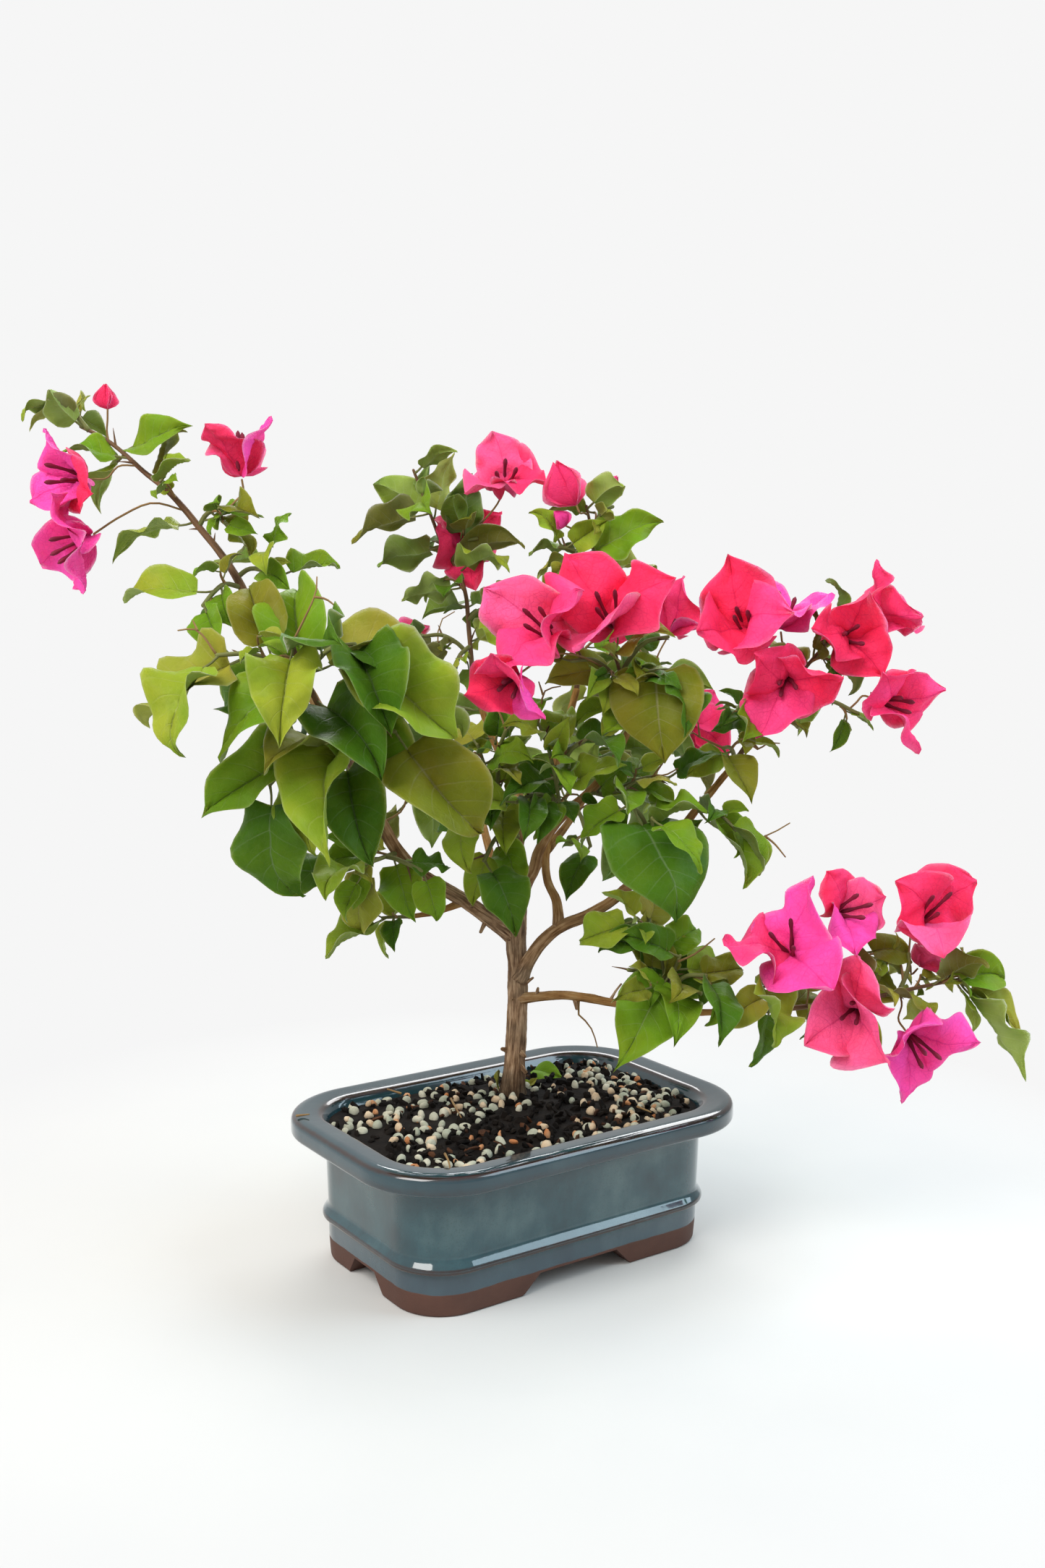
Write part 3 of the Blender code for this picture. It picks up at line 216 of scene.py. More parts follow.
# Each mass of foliage: the limb it grows on, the seeds of its leaves and its blossom, its stem's radius at
# the foot and at the tip, its stem's leaves (how many, and their length low down, halfway and at the tip),
# how far they droop, and where its stem runs. A shoot starts at a share of the stem's length and has its own
# leaves: how many, and their length first and last. A blossom starts likewise, or from a shoot: 2.7 is the
# second shoot at 0.7 of its length. It has the length of its bracts, or of the closed bud where that is below
# nought, and the way it looks. The leaves that make the outline have the place of their tip and their length.
MASSES = {
    "foliage_upper_left": Mass("bough_left", (30, 5), (2.0, 0.8), (5, 26, 30, 20), 0.45, stem=[
        (-121, 38, 243), (-131, 34, 260), (-146, 30, 278), (-159, 24, 292), (-176, 16, 305),
        (-189, 10, 316), (-205, 4, 324)],
        shoots=[(0.06, (-139, 52, 241), 3, 22, 24), (0.10, (-108, 30, 255), 3, 20, 26),
                (0.34, (-128, 36, 285), 2, 22, 24), (0.96, (-212, 2, 334), 3, 18, 20)],
        blossom=[(3.9, (-125, 30, 300), 31, (0, 1, 3)), (0.42, (-193, 36, 272), 33, (-1, 2, -1)),
                 (0.70, (-194, 30, 298), 34, (-1, 2, 1)), (0.86, (-190, 12, 331), -12, UP)],
        tips=[((-180, 42, 239), 38), ((-148, 26, 317), 32), ((-211, 16, 309), 28), ((-145, 36, 306), 22),
              ((-114, 34, 280), 24), ((-230, 8, 318), 18)]),
    "foliage_left": Mass("bough_left", (2, 1), (1.7, 1.0), (6, 44, 46, 38), 0.62, stem=[
        (-73, 46, 166), (-80, 82, 191), (-86, 104, 211), (-90, 116, 226)],
        shoots=[(0.30, (-106, 78, 164), 1, 42, 46), (0.34, (-50, 96, 189), 1, 44, 46),
                (0.72, (-122, 108, 221), 2, 38, 42), (0.80, (-65, 112, 226), 2, 36, 38)],
        tips=[((-157, 84, 185), 56), ((-130, 74, 143), 50), ((-122, 110, 180), 44), ((-97, 122, 171), 50),
              ((-77, 126, 134), 64), ((-53, 112, 128), 54), ((-13, 96, 133), 56), ((-26, 108, 182), 50),
              ((-53, 112, 216), 42), ((-37, 88, 221), 42), ((-98, 62, 100), 50)]),
    "foliage_left_lower": Mass("bough_left", (30, 1), (1.2, 0.8), (5, 26, 30, 34), 0.55, stem=[
        (-53, 34, 127), (-63, 48, 126), (-78, 58, 122)],
        shoots=[(0.30, (-41, 50, 121), 2, 20, 22)]),
    "foliage_low_left": Mass("bough_low_left", (57, 1), (1.0, 0.7), (3, 16, 18, 20), 0.5, stem=[
        (-50, 20, 94), (-62, 28, 95)],
        tips=[((-87, 44, 76), 30)]),
    "foliage_top_left": Mass("bough_top_left", (18, 15), (1.3, 0.7), (6, 28, 32, 22), 0.45, stem=[
        (-22, -42, 206), (-24, -44, 230), (-27, -46, 253), (-37, -46, 271), (-45, -46, 291),
        (-52, -44, 309)],
        shoots=[(0.08, (-47, -36, 226), 2, 24, 26), (0.14, (-33, -34, 201), 2, 22, 24),
                (0.26, (-9, -40, 239), 3, 20, 24), (0.55, (-20, -40, 275), 1, 30, 34)],
        blossom=[(4.7, (-6, -30, 300), 28, (0, 3, 1)), (0.62, (-29, -56, 271), 28, (0, 3, 1))],
        tips=[((-82, -30, 272), 34), ((-75, -30, 253), 32), ((-61, -34, 240), 28), ((-1, -30, 271), 34),
              ((-30, -44, 318), 30), ((-73, -40, 304), 28)]),
    "foliage_top": Mass("bough_centre", (43, 19), (1.4, 0.7), (4, 24, 26, 22), 0.45, stem=[
        (30, -12, 201), (32, -14, 220), (36, -16, 245), (38, -17, 264), (36, -17, 283), (34, -16, 290)],
        shoots=[(0.30, (52, -20, 234), 1, 24, 26), (0.62, (21, -10, 270), 1, 22, 24),
                (0.85, (47, -20, 290), 1, 20, 24)],
        blossom=[(0.95, (28, -12, 290), -25, UP), (0.80, (24, -8, 280), -10, (-2, 1, 2)),
                 (3.9, (43, -16, 298), -9, (2, 0, 1))],
        tips=[((73, -14, 279), 36), ((5, -8, 289), 22), ((7, 0, 237), 36), ((73, -30, 256), 30),
              ((45, -12, 281), 20)]),
    "foliage_centre_blossom": Mass("bough_right", (39, 43), (1.3, 0.8), (4, 26, 30, 26), 0.5, stem=[
        (54, 22, 185), (50, 28, 205), (46, 32, 221)],
        shoots=[(0.35, (71, 36, 213), 2, 24, 30), (0.55, (26, 40, 217), 2, 20, 22),
                (0.70, (70, 34, 228), 1, 22, 26)],
        blossom=[(2.8, (18, 42, 227), 36, (-2, 3, 1)), (1.0, (45, 36, 232), 37, (-1, 3, 2)),
                 (1.0, (60, 32, 239), 34, (2, 2, 1)), (2.4, (2, 64, 212), 26, (-2, 3, -2))],
        tips=[((73, 56, 173), 42)]),
    "foliage_right": Mass("bough_right_middle", (23, 1), (1.4, 0.7), (6, 26, 28, 26), 0.45, stem=[
        (103, 8, 164), (117, 8, 185), (129, 5, 200), (142, 0, 216), (156, -5, 230)],
        shoots=[(0.05, (98, 22, 176), 2, 22, 26), (0.36, (163, 12, 192), 1, 20, 22),
                (0.30, (108, 20, 193), 2, 20, 24)],
        blossom=[(0.62, (108, 26, 228), 37, (-1, 2, 1)), (0.70, (126, 26, 210), 32, (0, 3, -1)),
                 (0.74, (127, 4, 232), 27, (1, 1, 3)), (0.85, (154, 4, 227), 29, (0, 3, 0)),
                 (1.00, (172, -12, 235), 28, (1, 2, 1)), (2.9, (171, 14, 199), 31, (1, 2, -1))],
        tips=[((139, -6, 240), 20), ((152, 8, 204), 26)]),
    "foliage_right_front": Mass("bough_right_middle", (47, 1), (1.1, 0.8), (3, 24, 26, 30), 0.7, stem=[
        (67, 20, 122), (65, 34, 134), (63, 46, 146)],
        shoots=[(0.30, (53, 40, 152), 2, 24, 26)],
        tips=[((71, 56, 95), 50)]),
    "foliage_right_under": Mass("bough_right_middle", (35, 1), (0.9, 0.7), (2, 22, 24, 26), 0.7, stem=[
        (87, 12, 145), (94, 20, 145), (98, 28, 144)],
        tips=[((108, 30, 107), 38)]),
    "foliage_low_right_inner": Mass("bough_low_right", (12, 1), (1.2, 0.8), (5, 36, 36, 26), 0.6, stem=[
        (68, 24, 51), (73, 34, 66), (78, 38, 80)],
        shoots=[(0.10, (53, 50, 76), 1, 36, 40), (0.30, (90, 40, 71), 3, 28, 32),
                (0.50, (58, 30, 96), 4, 24, 28)],
        tips=[((43, 52, 34), 46), ((64, 46, 41), 40)]),
    "foliage_low_right": Mass("bough_low_right", (59, 7), (1.4, 0.8), (8, 30, 28, 24), 0.5, stem=[
        (114, 26, 50), (142, 26, 53), (170, 22, 56), (196, 16, 60), (216, 12, 63)],
        shoots=[(0.08, (115, 40, 69), 2, 28, 32), (0.45, (168, 14, 77), 2, 26, 28),
                (0.70, (192, 10, 75), 1, 22, 24)],
        blossom=[(0.25, (129, 42, 82), 38, (-1, 2, 2)), (2.6, (154, 20, 97), 28, (2, 2, 0)),
                 (3.95, (197, 8, 90), 36, (1, 3, 1)), (3.7, (198, 4, 68), 20, (0, 1, 3)),
                 (0.52, (160, 44, 58), 36, (-1, 3, 0)), (0.70, (186, 36, 43), 32, (1, 2, -1))],
        tips=[((243, 18, 12), 46), ((260, 10, 17), 36), ((241, 0, 61), 28), ((112, 26, 23), 28)]),
    "foliage_centre_left": Mass("bough_centre", (57, 1), (1.1, 0.7), (7, 26, 26, 24), 0.4, stem=[
        (2, -4, 128), (-4, 12, 145), (-11, 26, 160), (-17, 34, 178)],
        shoots=[(0.10, (-14, 30, 123), 3, 28, 38), (0.35, (-24, 34, 147), 3, 24, 26),
                (0.55, (-4, 38, 185), 2, 22, 26)]),
    "foliage_centre": Mass("bough_right", (54, 1), (1.1, 0.7), (8, 26, 28, 24), 0.4, stem=[
        (22, 14, 142), (20, 28, 157), (17, 36, 172), (11, 34, 188)],
        shoots=[(0.15, (1, 40, 152), 3, 24, 26), (0.45, (34, 40, 182), 3, 24, 26),
                (0.70, (-4, 30, 196), 2, 22, 24)]),
    "foliage_centre_right": Mass("bough_right", (27, 1), (1.0, 0.7), (5, 24, 24, 22), 0.4, stem=[
        (35, 14, 153), (47, 26, 155), (57, 32, 161)],
        shoots=[(0.50, (72, 26, 162), 3, 22, 24), (0.20, (48, 34, 146), 2, 22, 24)]),
    "foliage_inner_right": Mass("bough_inner_right", (15, 1), (1.1, 0.7), (7, 28, 30, 26), 0.4, stem=[
        (24, -46, 139), (31, -58, 151), (37, -66, 165)],
        shoots=[(0.10, (39, -40, 119), 2, 28, 30), (0.30, (12, -60, 150), 3, 26, 28),
                (0.60, (60, -60, 166), 2, 26, 28)]),
    "foliage_back_left": Mass("bough_back_left", (16, 39), (1.2, 0.7), (9, 36, 38, 28), 0.5, stem=[
        (-26, -76, 146), (-40, -90, 162), (-55, -98, 183), (-61, -100, 205)],
        shoots=[(0.15, (-60, -92, 134), 2, 34, 38), (0.40, (-79, -84, 170), 2, 34, 38),
                (0.60, (-25, -96, 185), 2, 30, 32)],
        blossom=[(0.90, (-67, -104, 214), 29, (-1, -2, 1))]),
    "foliage_back_right": Mass("bough_back_right", (21, 9), (1.2, 0.7), (9, 36, 36, 28), 0.5, stem=[
        (43, -78, 150), (54, -92, 167), (68, -100, 186), (75, -98, 210)],
        shoots=[(0.12, (67, -100, 126), 2, 34, 38), (0.35, (88, -92, 163), 2, 32, 34),
                (0.60, (42, -104, 193), 2, 28, 30)],
        blossom=[(0.85, (84, -104, 227), 31, (1, -1, 2)), (0.95, (61, -90, 225), 30, (-1, -1, 2)),
                 (3.9, (96, -104, 178), 29, (1, -2, 0))]),
}


def spot(across, near, high):
    """The point at so many millimetres across, near and high from the foot of the trunk."""
    return FOOT + Matrix.Rotation(FRONT_TURN, 3, "Z") @ Vector((across, -near, high)) * MM


def facing(way):
    """The direction that is so far across, near and high."""
    return (spot(*way) - spot(0, 0, 0)).normalized()


def smooth_path(points, count):
    """Evenly spaced points on one smooth curve through the given ones."""
    ends = [points[0] * 2 - points[1], *points, points[-1] * 2 - points[-2]]
    fine = []
    for a, b, c, d in zip(ends, ends[1:], ends[2:], ends[3:]):
        for step in range(CURVE_STEPS):
            t = step / CURVE_STEPS
            fine.append((b * 2 + (c - a) * t + (a * 2 - b * 5 + c * 4 - d) * t * t
                         + (b * 3 - a - c * 3 + d) * t ** 3) / 2)
    fine.append(points[-1])
    run = [0.0]
    for p, q in zip(fine, fine[1:]):
        run.append(run[-1] + (q - p).length)
    path = []
    at = 0
    for k in range(count):
        want = run[-1] * k / (count - 1)
        while at < len(fine) - 2 and run[at + 1] < want:
            at += 1
        share = (want - run[at]) / (run[at + 1] - run[at])
        path.append(fine[at].lerp(fine[at + 1], min(share, 1.0)))
    return path


def path_length(path):
    return sum((q - p).length for p, q in zip(path, path[1:]))


def stepped(path, step, least=4):
    """A smooth path with a point about every so many millimetres."""
    return smooth_path(path, max(least, round(path_length(path) / MM / step) + 1))


def along(path, share):
    """The point at a share of the path's length, and the path's direction there."""
    place = min(max(share, 0.0), 1.0) * (len(path) - 1)
    k = min(int(place), len(path) - 2)
    return path[k].lerp(path[k + 1], place - k), (path[k + 1] - path[k]).normalized()


def across_of(direction):
    """Two sides at right angles to a direction and to each other."""
    guide = Vector((1, 0, 0)) if abs(direction.x) < 0.7 else Vector((0, 1, 0))
    side = (guide - direction * guide.dot(direction)).normalized()
    return side, direction.cross(side)


def spokes(path, sides):
    """Each point of a path with its ring: the turn and the way out of each spoke, carried on untwisted."""
    turns = [2 * math.pi * j / sides for j in range(sides)]
    side = across_of((path[1] - path[0]).normalized())[0]
    for k, centre in enumerate(path):
        ahead = (path[min(k + 1, len(path) - 1)] - path[max(k - 1, 0)]).normalized()
        side = (side - ahead * side.dot(ahead)).normalized()
        other = ahead.cross(side)
        yield centre, [(turn, side * math.cos(turn) + other * math.sin(turn)) for turn in turns]


def ring_faces(sides, rings):
    """The faces of a closed tube through so many rings of points, its two flat ends first and last."""
    faces = [tuple(reversed(range(sides)))]
    for first in range(0, (rings - 1) * sides, sides):
        for a in range(first, first + sides):
            b = first + (a + 1 - first) % sides
            faces.append((a, b, b + sides, a + sides))
    faces.append(tuple(range((rings - 1) * sides, rings * sides)))
    return faces


def tube(path, radii, sides, kind=TWIG, lobes=None):
    """A closed tube with flat ends; lobes gives how far each ring swells to three roots."""
    points = []
    for k, (centre, ring) in enumerate(spokes(path, sides)):
        for turn, out in ring:
            swell = 1 + lobes[k] * math.cos(3 * turn) if lobes else 1
            points.append(centre + out * radii[k] * swell)
    return points, ring_faces(sides, len(path)), kind


def bent(foot, aim, face, length, curl, share):
    """The middle of a blade at a share of its length, and which way its face looks there."""
    angle = curl * share
    if abs(curl) < 0.01:
        return foot + aim * length * share, face
    along_blade = aim * math.sin(angle) / curl - face * (1 - math.cos(angle)) / curl
    return foot + along_blade * length, face * math.cos(angle) + aim * math.sin(angle)


def blade_rings(foot, aim, face, stations, length, thick, curl, fold):
    """Four points at each station (share of the length, half width), then the blade's tip."""
    side = face.cross(aim)
    points = []
    for share, half in stations:
        centre, up = bent(foot, aim, face, length, curl, share)
        lift = up * fold * half
        points += [centre + side * half + lift, centre + up * thick / 2, centre - side * half + lift,
                   centre - up * thick / 2]
    points.append(bent(foot, aim, face, length, curl, 1.0)[0])
    return points


def blade_faces(ring, rings, tip):
    """The faces from one ring of four to the next, and from the last to the tip."""
    faces = []
    for _ in range(rings - 1):
        faces += [(ring + j, ring + (j + 1) % 4, ring + 4 + (j + 1) % 4, ring + 4 + j) for j in range(4)]
        ring += 4
    return faces + [(ring + j, ring + (j + 1) % 4, tip) for j in range(4)]


def loose_blade(foot, aim, face, stations, length, thick, curl, fold, kind):
    """A blade alone, closed at its foot, for the test that it has room."""
    points = [foot, *blade_rings(foot, aim, face, stations, length, thick, curl, fold)]
    faces = [(0, 1 + (j + 1) % 4, 1 + j) for j in range(4)]
    return points, faces + blade_faces(1, len(stations), len(points) - 1), kind


def leaf_size(length, grow=0.0):
    """A leaf's stalk, its stations and its thickness; a small leaf has one station."""
    stalk = min(length * LEAF_STALK, LEAF_STALK_MOST) * MM
    half = length * LEAF_WIDTH / 2 * MM
    stations = BIG_LEAF_STATIONS if length > BIG_LEAF else LEAF_STATIONS
    return stalk, [(share, half * wide + grow) for share, wide in stations], LEAF_THICK * MM + grow * 2


def leaf_blade(leaf, grow):
    """A leaf's blade alone, fattened for the test that it has room."""
    stalk, stations, thick = leaf_size(leaf.length, grow)
    return loose_blade(leaf.node + leaf.aim * stalk, leaf.aim, leaf.face, stations, leaf.length * MM + grow,
                       thick, leaf.curl, LEAF_FOLD, LEAF)


def leaf_shape(leaf):
    """A three-sided stalk whose root is sunk in the twig, and a blade folded along its middle."""
    stalk, stations, thick = leaf_size(leaf.length)
    side = leaf.face.cross(leaf.aim)
    points = []
    for step in (0.0, stalk):
        for turn in (math.pi / 6, math.pi * 5 / 6, math.pi * 3 / 2):
            out = side * math.cos(turn) + leaf.face * math.sin(turn)
            points.append(leaf.node + leaf.aim * step + out * STALK_RADIUS * MM)
    points += blade_rings(leaf.node + leaf.aim * stalk, leaf.aim, leaf.face, stations, leaf.length * MM,
                          thick, leaf.curl, LEAF_FOLD)
    faces = [(2, 1, 0), (0, 1, 4, 3), (1, 2, 5, 4), (2, 0, 3, 5)]
    faces += [(3, 4, 7), (4, 8, 7), (4, 5, 8), (5, 9, 8), (5, 6, 9), (5, 3, 6), (3, 7, 6)]
    return points, faces + blade_faces(6, len(stations), len(points) - 1), LEAF


def opened(blossom, k, opening):
    """The way out of one of a blossom's three bracts, its aim and its face, opened so far from the axis."""
    side, other = across_of(blossom.axis)
    around = blossom.turn + 2 * math.pi * k / 3
    out = side * math.cos(around) + other * math.sin(around)
    aim = blossom.axis * math.cos(opening) + out * math.sin(opening)
    return out, aim, blossom.axis * math.sin(opening) - out * math.cos(opening)


def bract_frames(blossom):
    """Each bract's direction, face and stations, no wider at its foot than its neighbours leave room for."""
    half = blossom.size * BRACT_WIDTH / 2 * MM
    frames = []
    for k, opening in enumerate(blossom.opening):
        room = BRACT_LOW * blossom.size * MM * math.sin(opening) * BRACT_ROOM
        stations = [(BRACT_LOW, min(half * BRACT_LOW_WIDE, room)), (BRACT_HIGH, half * BRACT_HIGH_WIDE)]
        frames.append((*opened(blossom, k, opening), stations))
    return frames


def bract_blades(blossom, grow):
    """The blossom's bracts as loose closed blades, or its bud, fattened for the test that it has room."""
    if blossom.size < 0:
        return [bud_tube(blossom, grow)]
    parts = []
    for _, aim, face, stations in bract_frames(blossom):
        wide = [(share, half + grow) for share, half in stations]
        parts.append(loose_blade(blossom.centre, aim, face, wide, blossom.size * MM + grow,
                                 LEAF_THICK * MM + grow * 2, blossom.curl, BRACT_FOLD, BRACT))
    return parts


def bud_tube(blossom, grow=0.0):
    """A closed bud: a pointed drop that stands on the end of its stalk."""
    size = -blossom.size * MM
    path = [blossom.centre + blossom.axis * share * size for share, _ in BUD_PROFILE]
    return tube(path, [size * BUD_GIRTH * girth + grow for _, girth in BUD_PROFILE], STEM_FACETS, BRACT)


def blossom_shapes(blossom):
    """A thin stalk that ends in a knob, each of whose three sides is drawn out into a bract."""
    stalk = tube(blossom.stalk, [FLOWER_STALK * MM] * len(blossom.stalk), TWIG_FACETS)
    if blossom.size < 0:
        return [stalk, bud_tube(blossom)]
    points, faces, _ = stalk
    faces.pop()
    frames = bract_frames(blossom)
    ends = points[-3:]
    corners = []
    for k in range(3):
        rim = blossom.centre - frames[(k + 2) % 3][0] * KNOB * MM
        corners.append([rim + blossom.axis * step * MM for step in (-KNOB, KNOB / 2)])
    shift = min(range(3), key=lambda s: sum((ends[j] - corners[(j + s) % 3][0]).length for j in range(3)))
    low = [len(points) + j for j in range(3)]
    high = [len(points) + 3 + j for j in range(3)]
    points += [corners[(j + shift) % 3][end] for end in (0, 1) for j in range(3)]
    tail = low[0] - 3
    faces += [(tail + j, tail + (j + 1) % 3, low[(j + 1) % 3], low[j]) for j in range(3)]
    faces.append(tuple(high))
    kinds = [TWIG] * len(faces)
    for j in range(3):
        _, aim, face, stations = frames[(j + shift + 1) % 3]
        near, far = (j + 1) % 3, j
        ring = [low[near], high[near], high[far], low[far]]
        first = len(points)
        points += blade_rings(blossom.centre, aim, face, stations, blossom.size * MM, LEAF_THICK * MM,
                              blossom.curl, BRACT_FOLD)
        for step in range(4):
            after = (step + 1) % 4
            faces += [(ring[step], ring[after], first + step), (ring[after], first + after, first + step)]
        faces += blade_faces(first, len(stations), len(points) - 1)
        kinds += [BRACT] * (len(faces) - len(kinds))
    return [(points, faces, kinds)]


class Crowd:
    """Everything that has grown so far, for the test that a new piece keeps clear of it."""

    def __init__(self):
        self.grown = []

    @staticmethod
    def box(points):
        """The lowest and the highest corner round the points."""
        return [Vector([end(p[k] for p in points) for k in range(3)]) for end in (min, max)]

    def add(self, shape, owner):
        points, faces, _ = shape
        self.grown.append((*self.box(points), BVHTree.FromPolygons(points, faces), owner))

    def meets(self, shape, skip=()):
        """Whether the shape cuts a grown piece other than those of the twigs or whole masses to skip."""
        points, faces, _ = shape
        low, high = self.box(points)
        tree = None
        for other_low, other_high, other, owner in self.grown:
            if owner in skip or owner.partition(" ")[0] in skip:
                continue
            if any(low[k] > other_high[k] or high[k] < other_low[k] for k in range(3)):
                continue
            tree = tree or BVHTree.FromPolygons(points, faces)
            if tree.overlap(other):
                return True
        return False

    def takes(self, whole, fat, name, own):
        """Add a new piece if it meets no other mass and its fattened blades meet only its own twig."""
        if any(self.meets(shape, (name,)) for shape in whole):
            return False
        if any(self.meets(shape, (own,)) for shape in fat):
            return False
        for shape in whole:
            self.add(shape, name)
        return True


def trunk_girth(high, bark=0.0):
    """The trunk's radius in millimetres at a height, and the share of its flare there."""
    flare = math.exp(-high / FLARE_HIGH)
    swell = SWELL * math.exp(-((high - SWELL_HIGH) / SWELL_SPREAD) ** 2)
    return TRUNK_RADIUS + bark - TRUNK_TAPER * high / TRUNK_TOP + FLARE * flare + swell, flare


def longer(path, more):
    """The same path with both of its ends moved outwards."""
    first = path[0] + (path[0] - path[1]).normalized() * more
    last = path[-1] + (path[-1] - path[-2]).normalized() * more
    return [first, *path[1:-1], last]


def limb_path(name):
    """Where a limb runs."""
    return stepped([spot(*place) for place in LIMBS[name].path], LIMB_STEP, 5)


def solid_path(name):
    """The path of a limb's solid, on which the trunk has a set number of rings."""
    if name == "trunk":
        return smooth_path([spot(*place) for place in LIMBS[name].path], TRUNK_RINGS)
    return limb_path(name)


def limb_shape(name, grow):
    """The trunk with the flare of three roots, or a bough with a collar at its foot, fattened for a cut."""
    path = solid_path(name)
    if name == "trunk":
        girths = [trunk_girth((point.z - FOOT.z) / MM) for point in path]
        return tube(longer(path, grow), [girth * MM + grow for girth, _ in girths], TRUNK_FACETS,
                    lobes=[ROOT_LOBES * flare for _, flare in girths])
    foot, tip = LIMBS[name].thick
    radii = []
    for k in range(len(path)):
        share = k / (len(path) - 1)
        collar = 1 + BOUGH_COLLAR * math.exp(-share * COLLAR_FADE)
        radii.append((foot + (tip - foot) * share) * collar * MM + grow)
    return tube(longer(path, grow), radii, BOUGH_FACETS)


def nearest(path, point):
    """The point of a path that lies nearest, found on even steps."""
    places = [along(path, k / NEAR_STEPS)[0] for k in range(NEAR_STEPS + 1)]
    return min(places, key=lambda place: (place - point).length)


def shoot_path(start, ahead, ends, count):
    """A shoot that leaves along its parent and arches over to its end, or to its last two points."""
    reach = (ends[0] - start).length
    lift = Vector((0, 0, reach * SHOOT_LIFT))
    middle = start.lerp(ends[0], SHOOT_BEND) + ahead * reach * SHOOT_AHEAD + lift
    return smooth_path([start, middle, *ends], count)


def crosses_itself(shape):
    """Whether faces of a shape that don't share a corner cut each other."""
    points, faces, _ = shape
    tree = BVHTree.FromPolygons(points, faces)
    return any(not set(faces[one]) & set(faces[other]) for one, other in tree.overlap(tree))


def out_at(point):
    """The way out of the crown at a point, more to its front or back than to its sides."""
    local = Matrix.Rotation(-FRONT_TURN, 3, "Z") @ (point - FOOT) / MM
    way = Vector((local.x * SIDEWAYS, local.y - OUT_CENTRE, 0)).normalized()
    return Matrix.Rotation(FRONT_TURN, 3, "Z") @ way


def stem_path(name):
    """Where a mass's stem runs: from the middle of its limb to its tip."""
    mass = MASSES[name]
    points = [spot(*place) for place in mass.stem]
    points[0] = nearest(limb_path(mass.limb), points[0])
    return stepped(points, STEM_STEP, 5)


def crowded(point, name, stems):
    """Whether a point lies in another mass's space, close round that mass's stem."""
    others = [path for other, path in stems.items() if other != name]
    return any((place - point).length < OWN_SPACE * MM for path in others for place in path)


def jitter(draw):
    return Vector((draw.uniform(-1, 1), draw.uniform(-1, 1), draw.uniform(-1, 1)))


def square_to(aim, way):
    """The direction at right angles to an aim that lies nearest to the way given."""
    return (way - aim * way.dot(aim)).normalized()


def put_leaf(node, ahead, turn, length, droop, draw, crowd, stems, name, own):
    """One leaf on its twig, turned on until it has room, or none."""
    side, other = across_of(ahead)
    lean = draw.uniform(*LEAF_LEAN)
    tilt = jitter(draw) * LEAF_TILT
    curl = draw.uniform(*LEAF_CURL) + droop * length / HEAVY_LEAF
    light = Vector((0, 0, LEAF_LIGHT)) + out_at(node) * LEAF_LIGHT + tilt
    for step in range(TRIES):
        around = turn + TURN_STEP * ((step + 1) // 2) * (-1 if step % 2 else 1)
        out = side * math.cos(around) + other * math.sin(around)
        aim = out * math.sin(lean) + ahead * math.cos(lean)
        aim += DOWN * droop * (LEAF_SAG + length / HEAVY_LEAF)
        aim.normalize()
        leaf = Leaf(node, aim, square_to(aim, light), length, curl)
        fat = leaf_blade(leaf, CLEAR)
        if not crowded(fat[0][-1], name, stems) and crowd.takes([leaf_shape(leaf)], [fat], name, own):
            return leaf
    return None


def set_leaf(tip, length, twigs, draw, crowd, name):
    """A leaf whose tip has a set place, from the point of the twigs that lies its whole length away."""
    whole = leaf_size(length)[0] + length * MM
    choices = []
    for index, twig in enumerate(twigs):
        for step in range(1, NODES + 1 if twig else 1):
            node, _ = along(twig[0], step / NODES)
            miss = abs((tip - node).length - whole) + max(0.0, tip.z - node.z) * SINK
            choices.append((miss, index, step))
    curl = draw.uniform(*SET_CURL)
    for _, index, step in sorted(choices)[:TRIES]:
        node, _ = along(twigs[index][0], step / NODES)
        chord = (tip - node).normalized()
        up = square_to(chord, Vector((0, 0, SET_LIGHT)) + out_at(node))
        aim = chord * math.cos(curl / 2) + up * math.sin(curl / 2)
        face = up * math.cos(curl / 2) - chord * math.sin(curl / 2)
        leaf = Leaf(node, aim, face, length, curl)
        if crowd.takes([leaf_shape(leaf)], [leaf_blade(leaf, CLEAR)], name, f"{name} {index}"):
            return leaf
    return None


def put_blossom(start, ahead, centre, size, looks, draw, crowd, name, own):
    """One blossom on its thin stalk, turned, shrunk and moved outwards until it has room, or none."""
    stray = jitter(draw) * STRAY
    turn = draw.uniform(0, 2 * math.pi)
    opening = [math.radians(draw.uniform(*BLOSSOM_OPENING)) for _ in range(3)]
    curl = draw.uniform(*BRACT_CURL)
    axis = (facing(looks) + stray + (centre - start).normalized() * LEAN).normalized()
    for step in range(TRIES):
        inner = centre - axis * (KNOB_BELOW if size > 0 else 0.0) * MM
        before = inner - axis * (BLOSSOM_NECK[0] + abs(size) * BLOSSOM_NECK[1]) * MM
        stalk = shoot_path(start, ahead, [before, inner], 4)
        blossom = Blossom(stalk, centre, axis, turn + TURN_STEP * step, size, opening, curl)
        whole = blossom_shapes(blossom)
        if not any(crosses_itself(shape) for shape in whole) \
                and crowd.takes(whole, bract_blades(blossom, CLEAR), name, own):
            return blossom
        size *= BLOSSOM_SHRINK
        centre = centre + out_at(centre) * NUDGE * MM
    return None


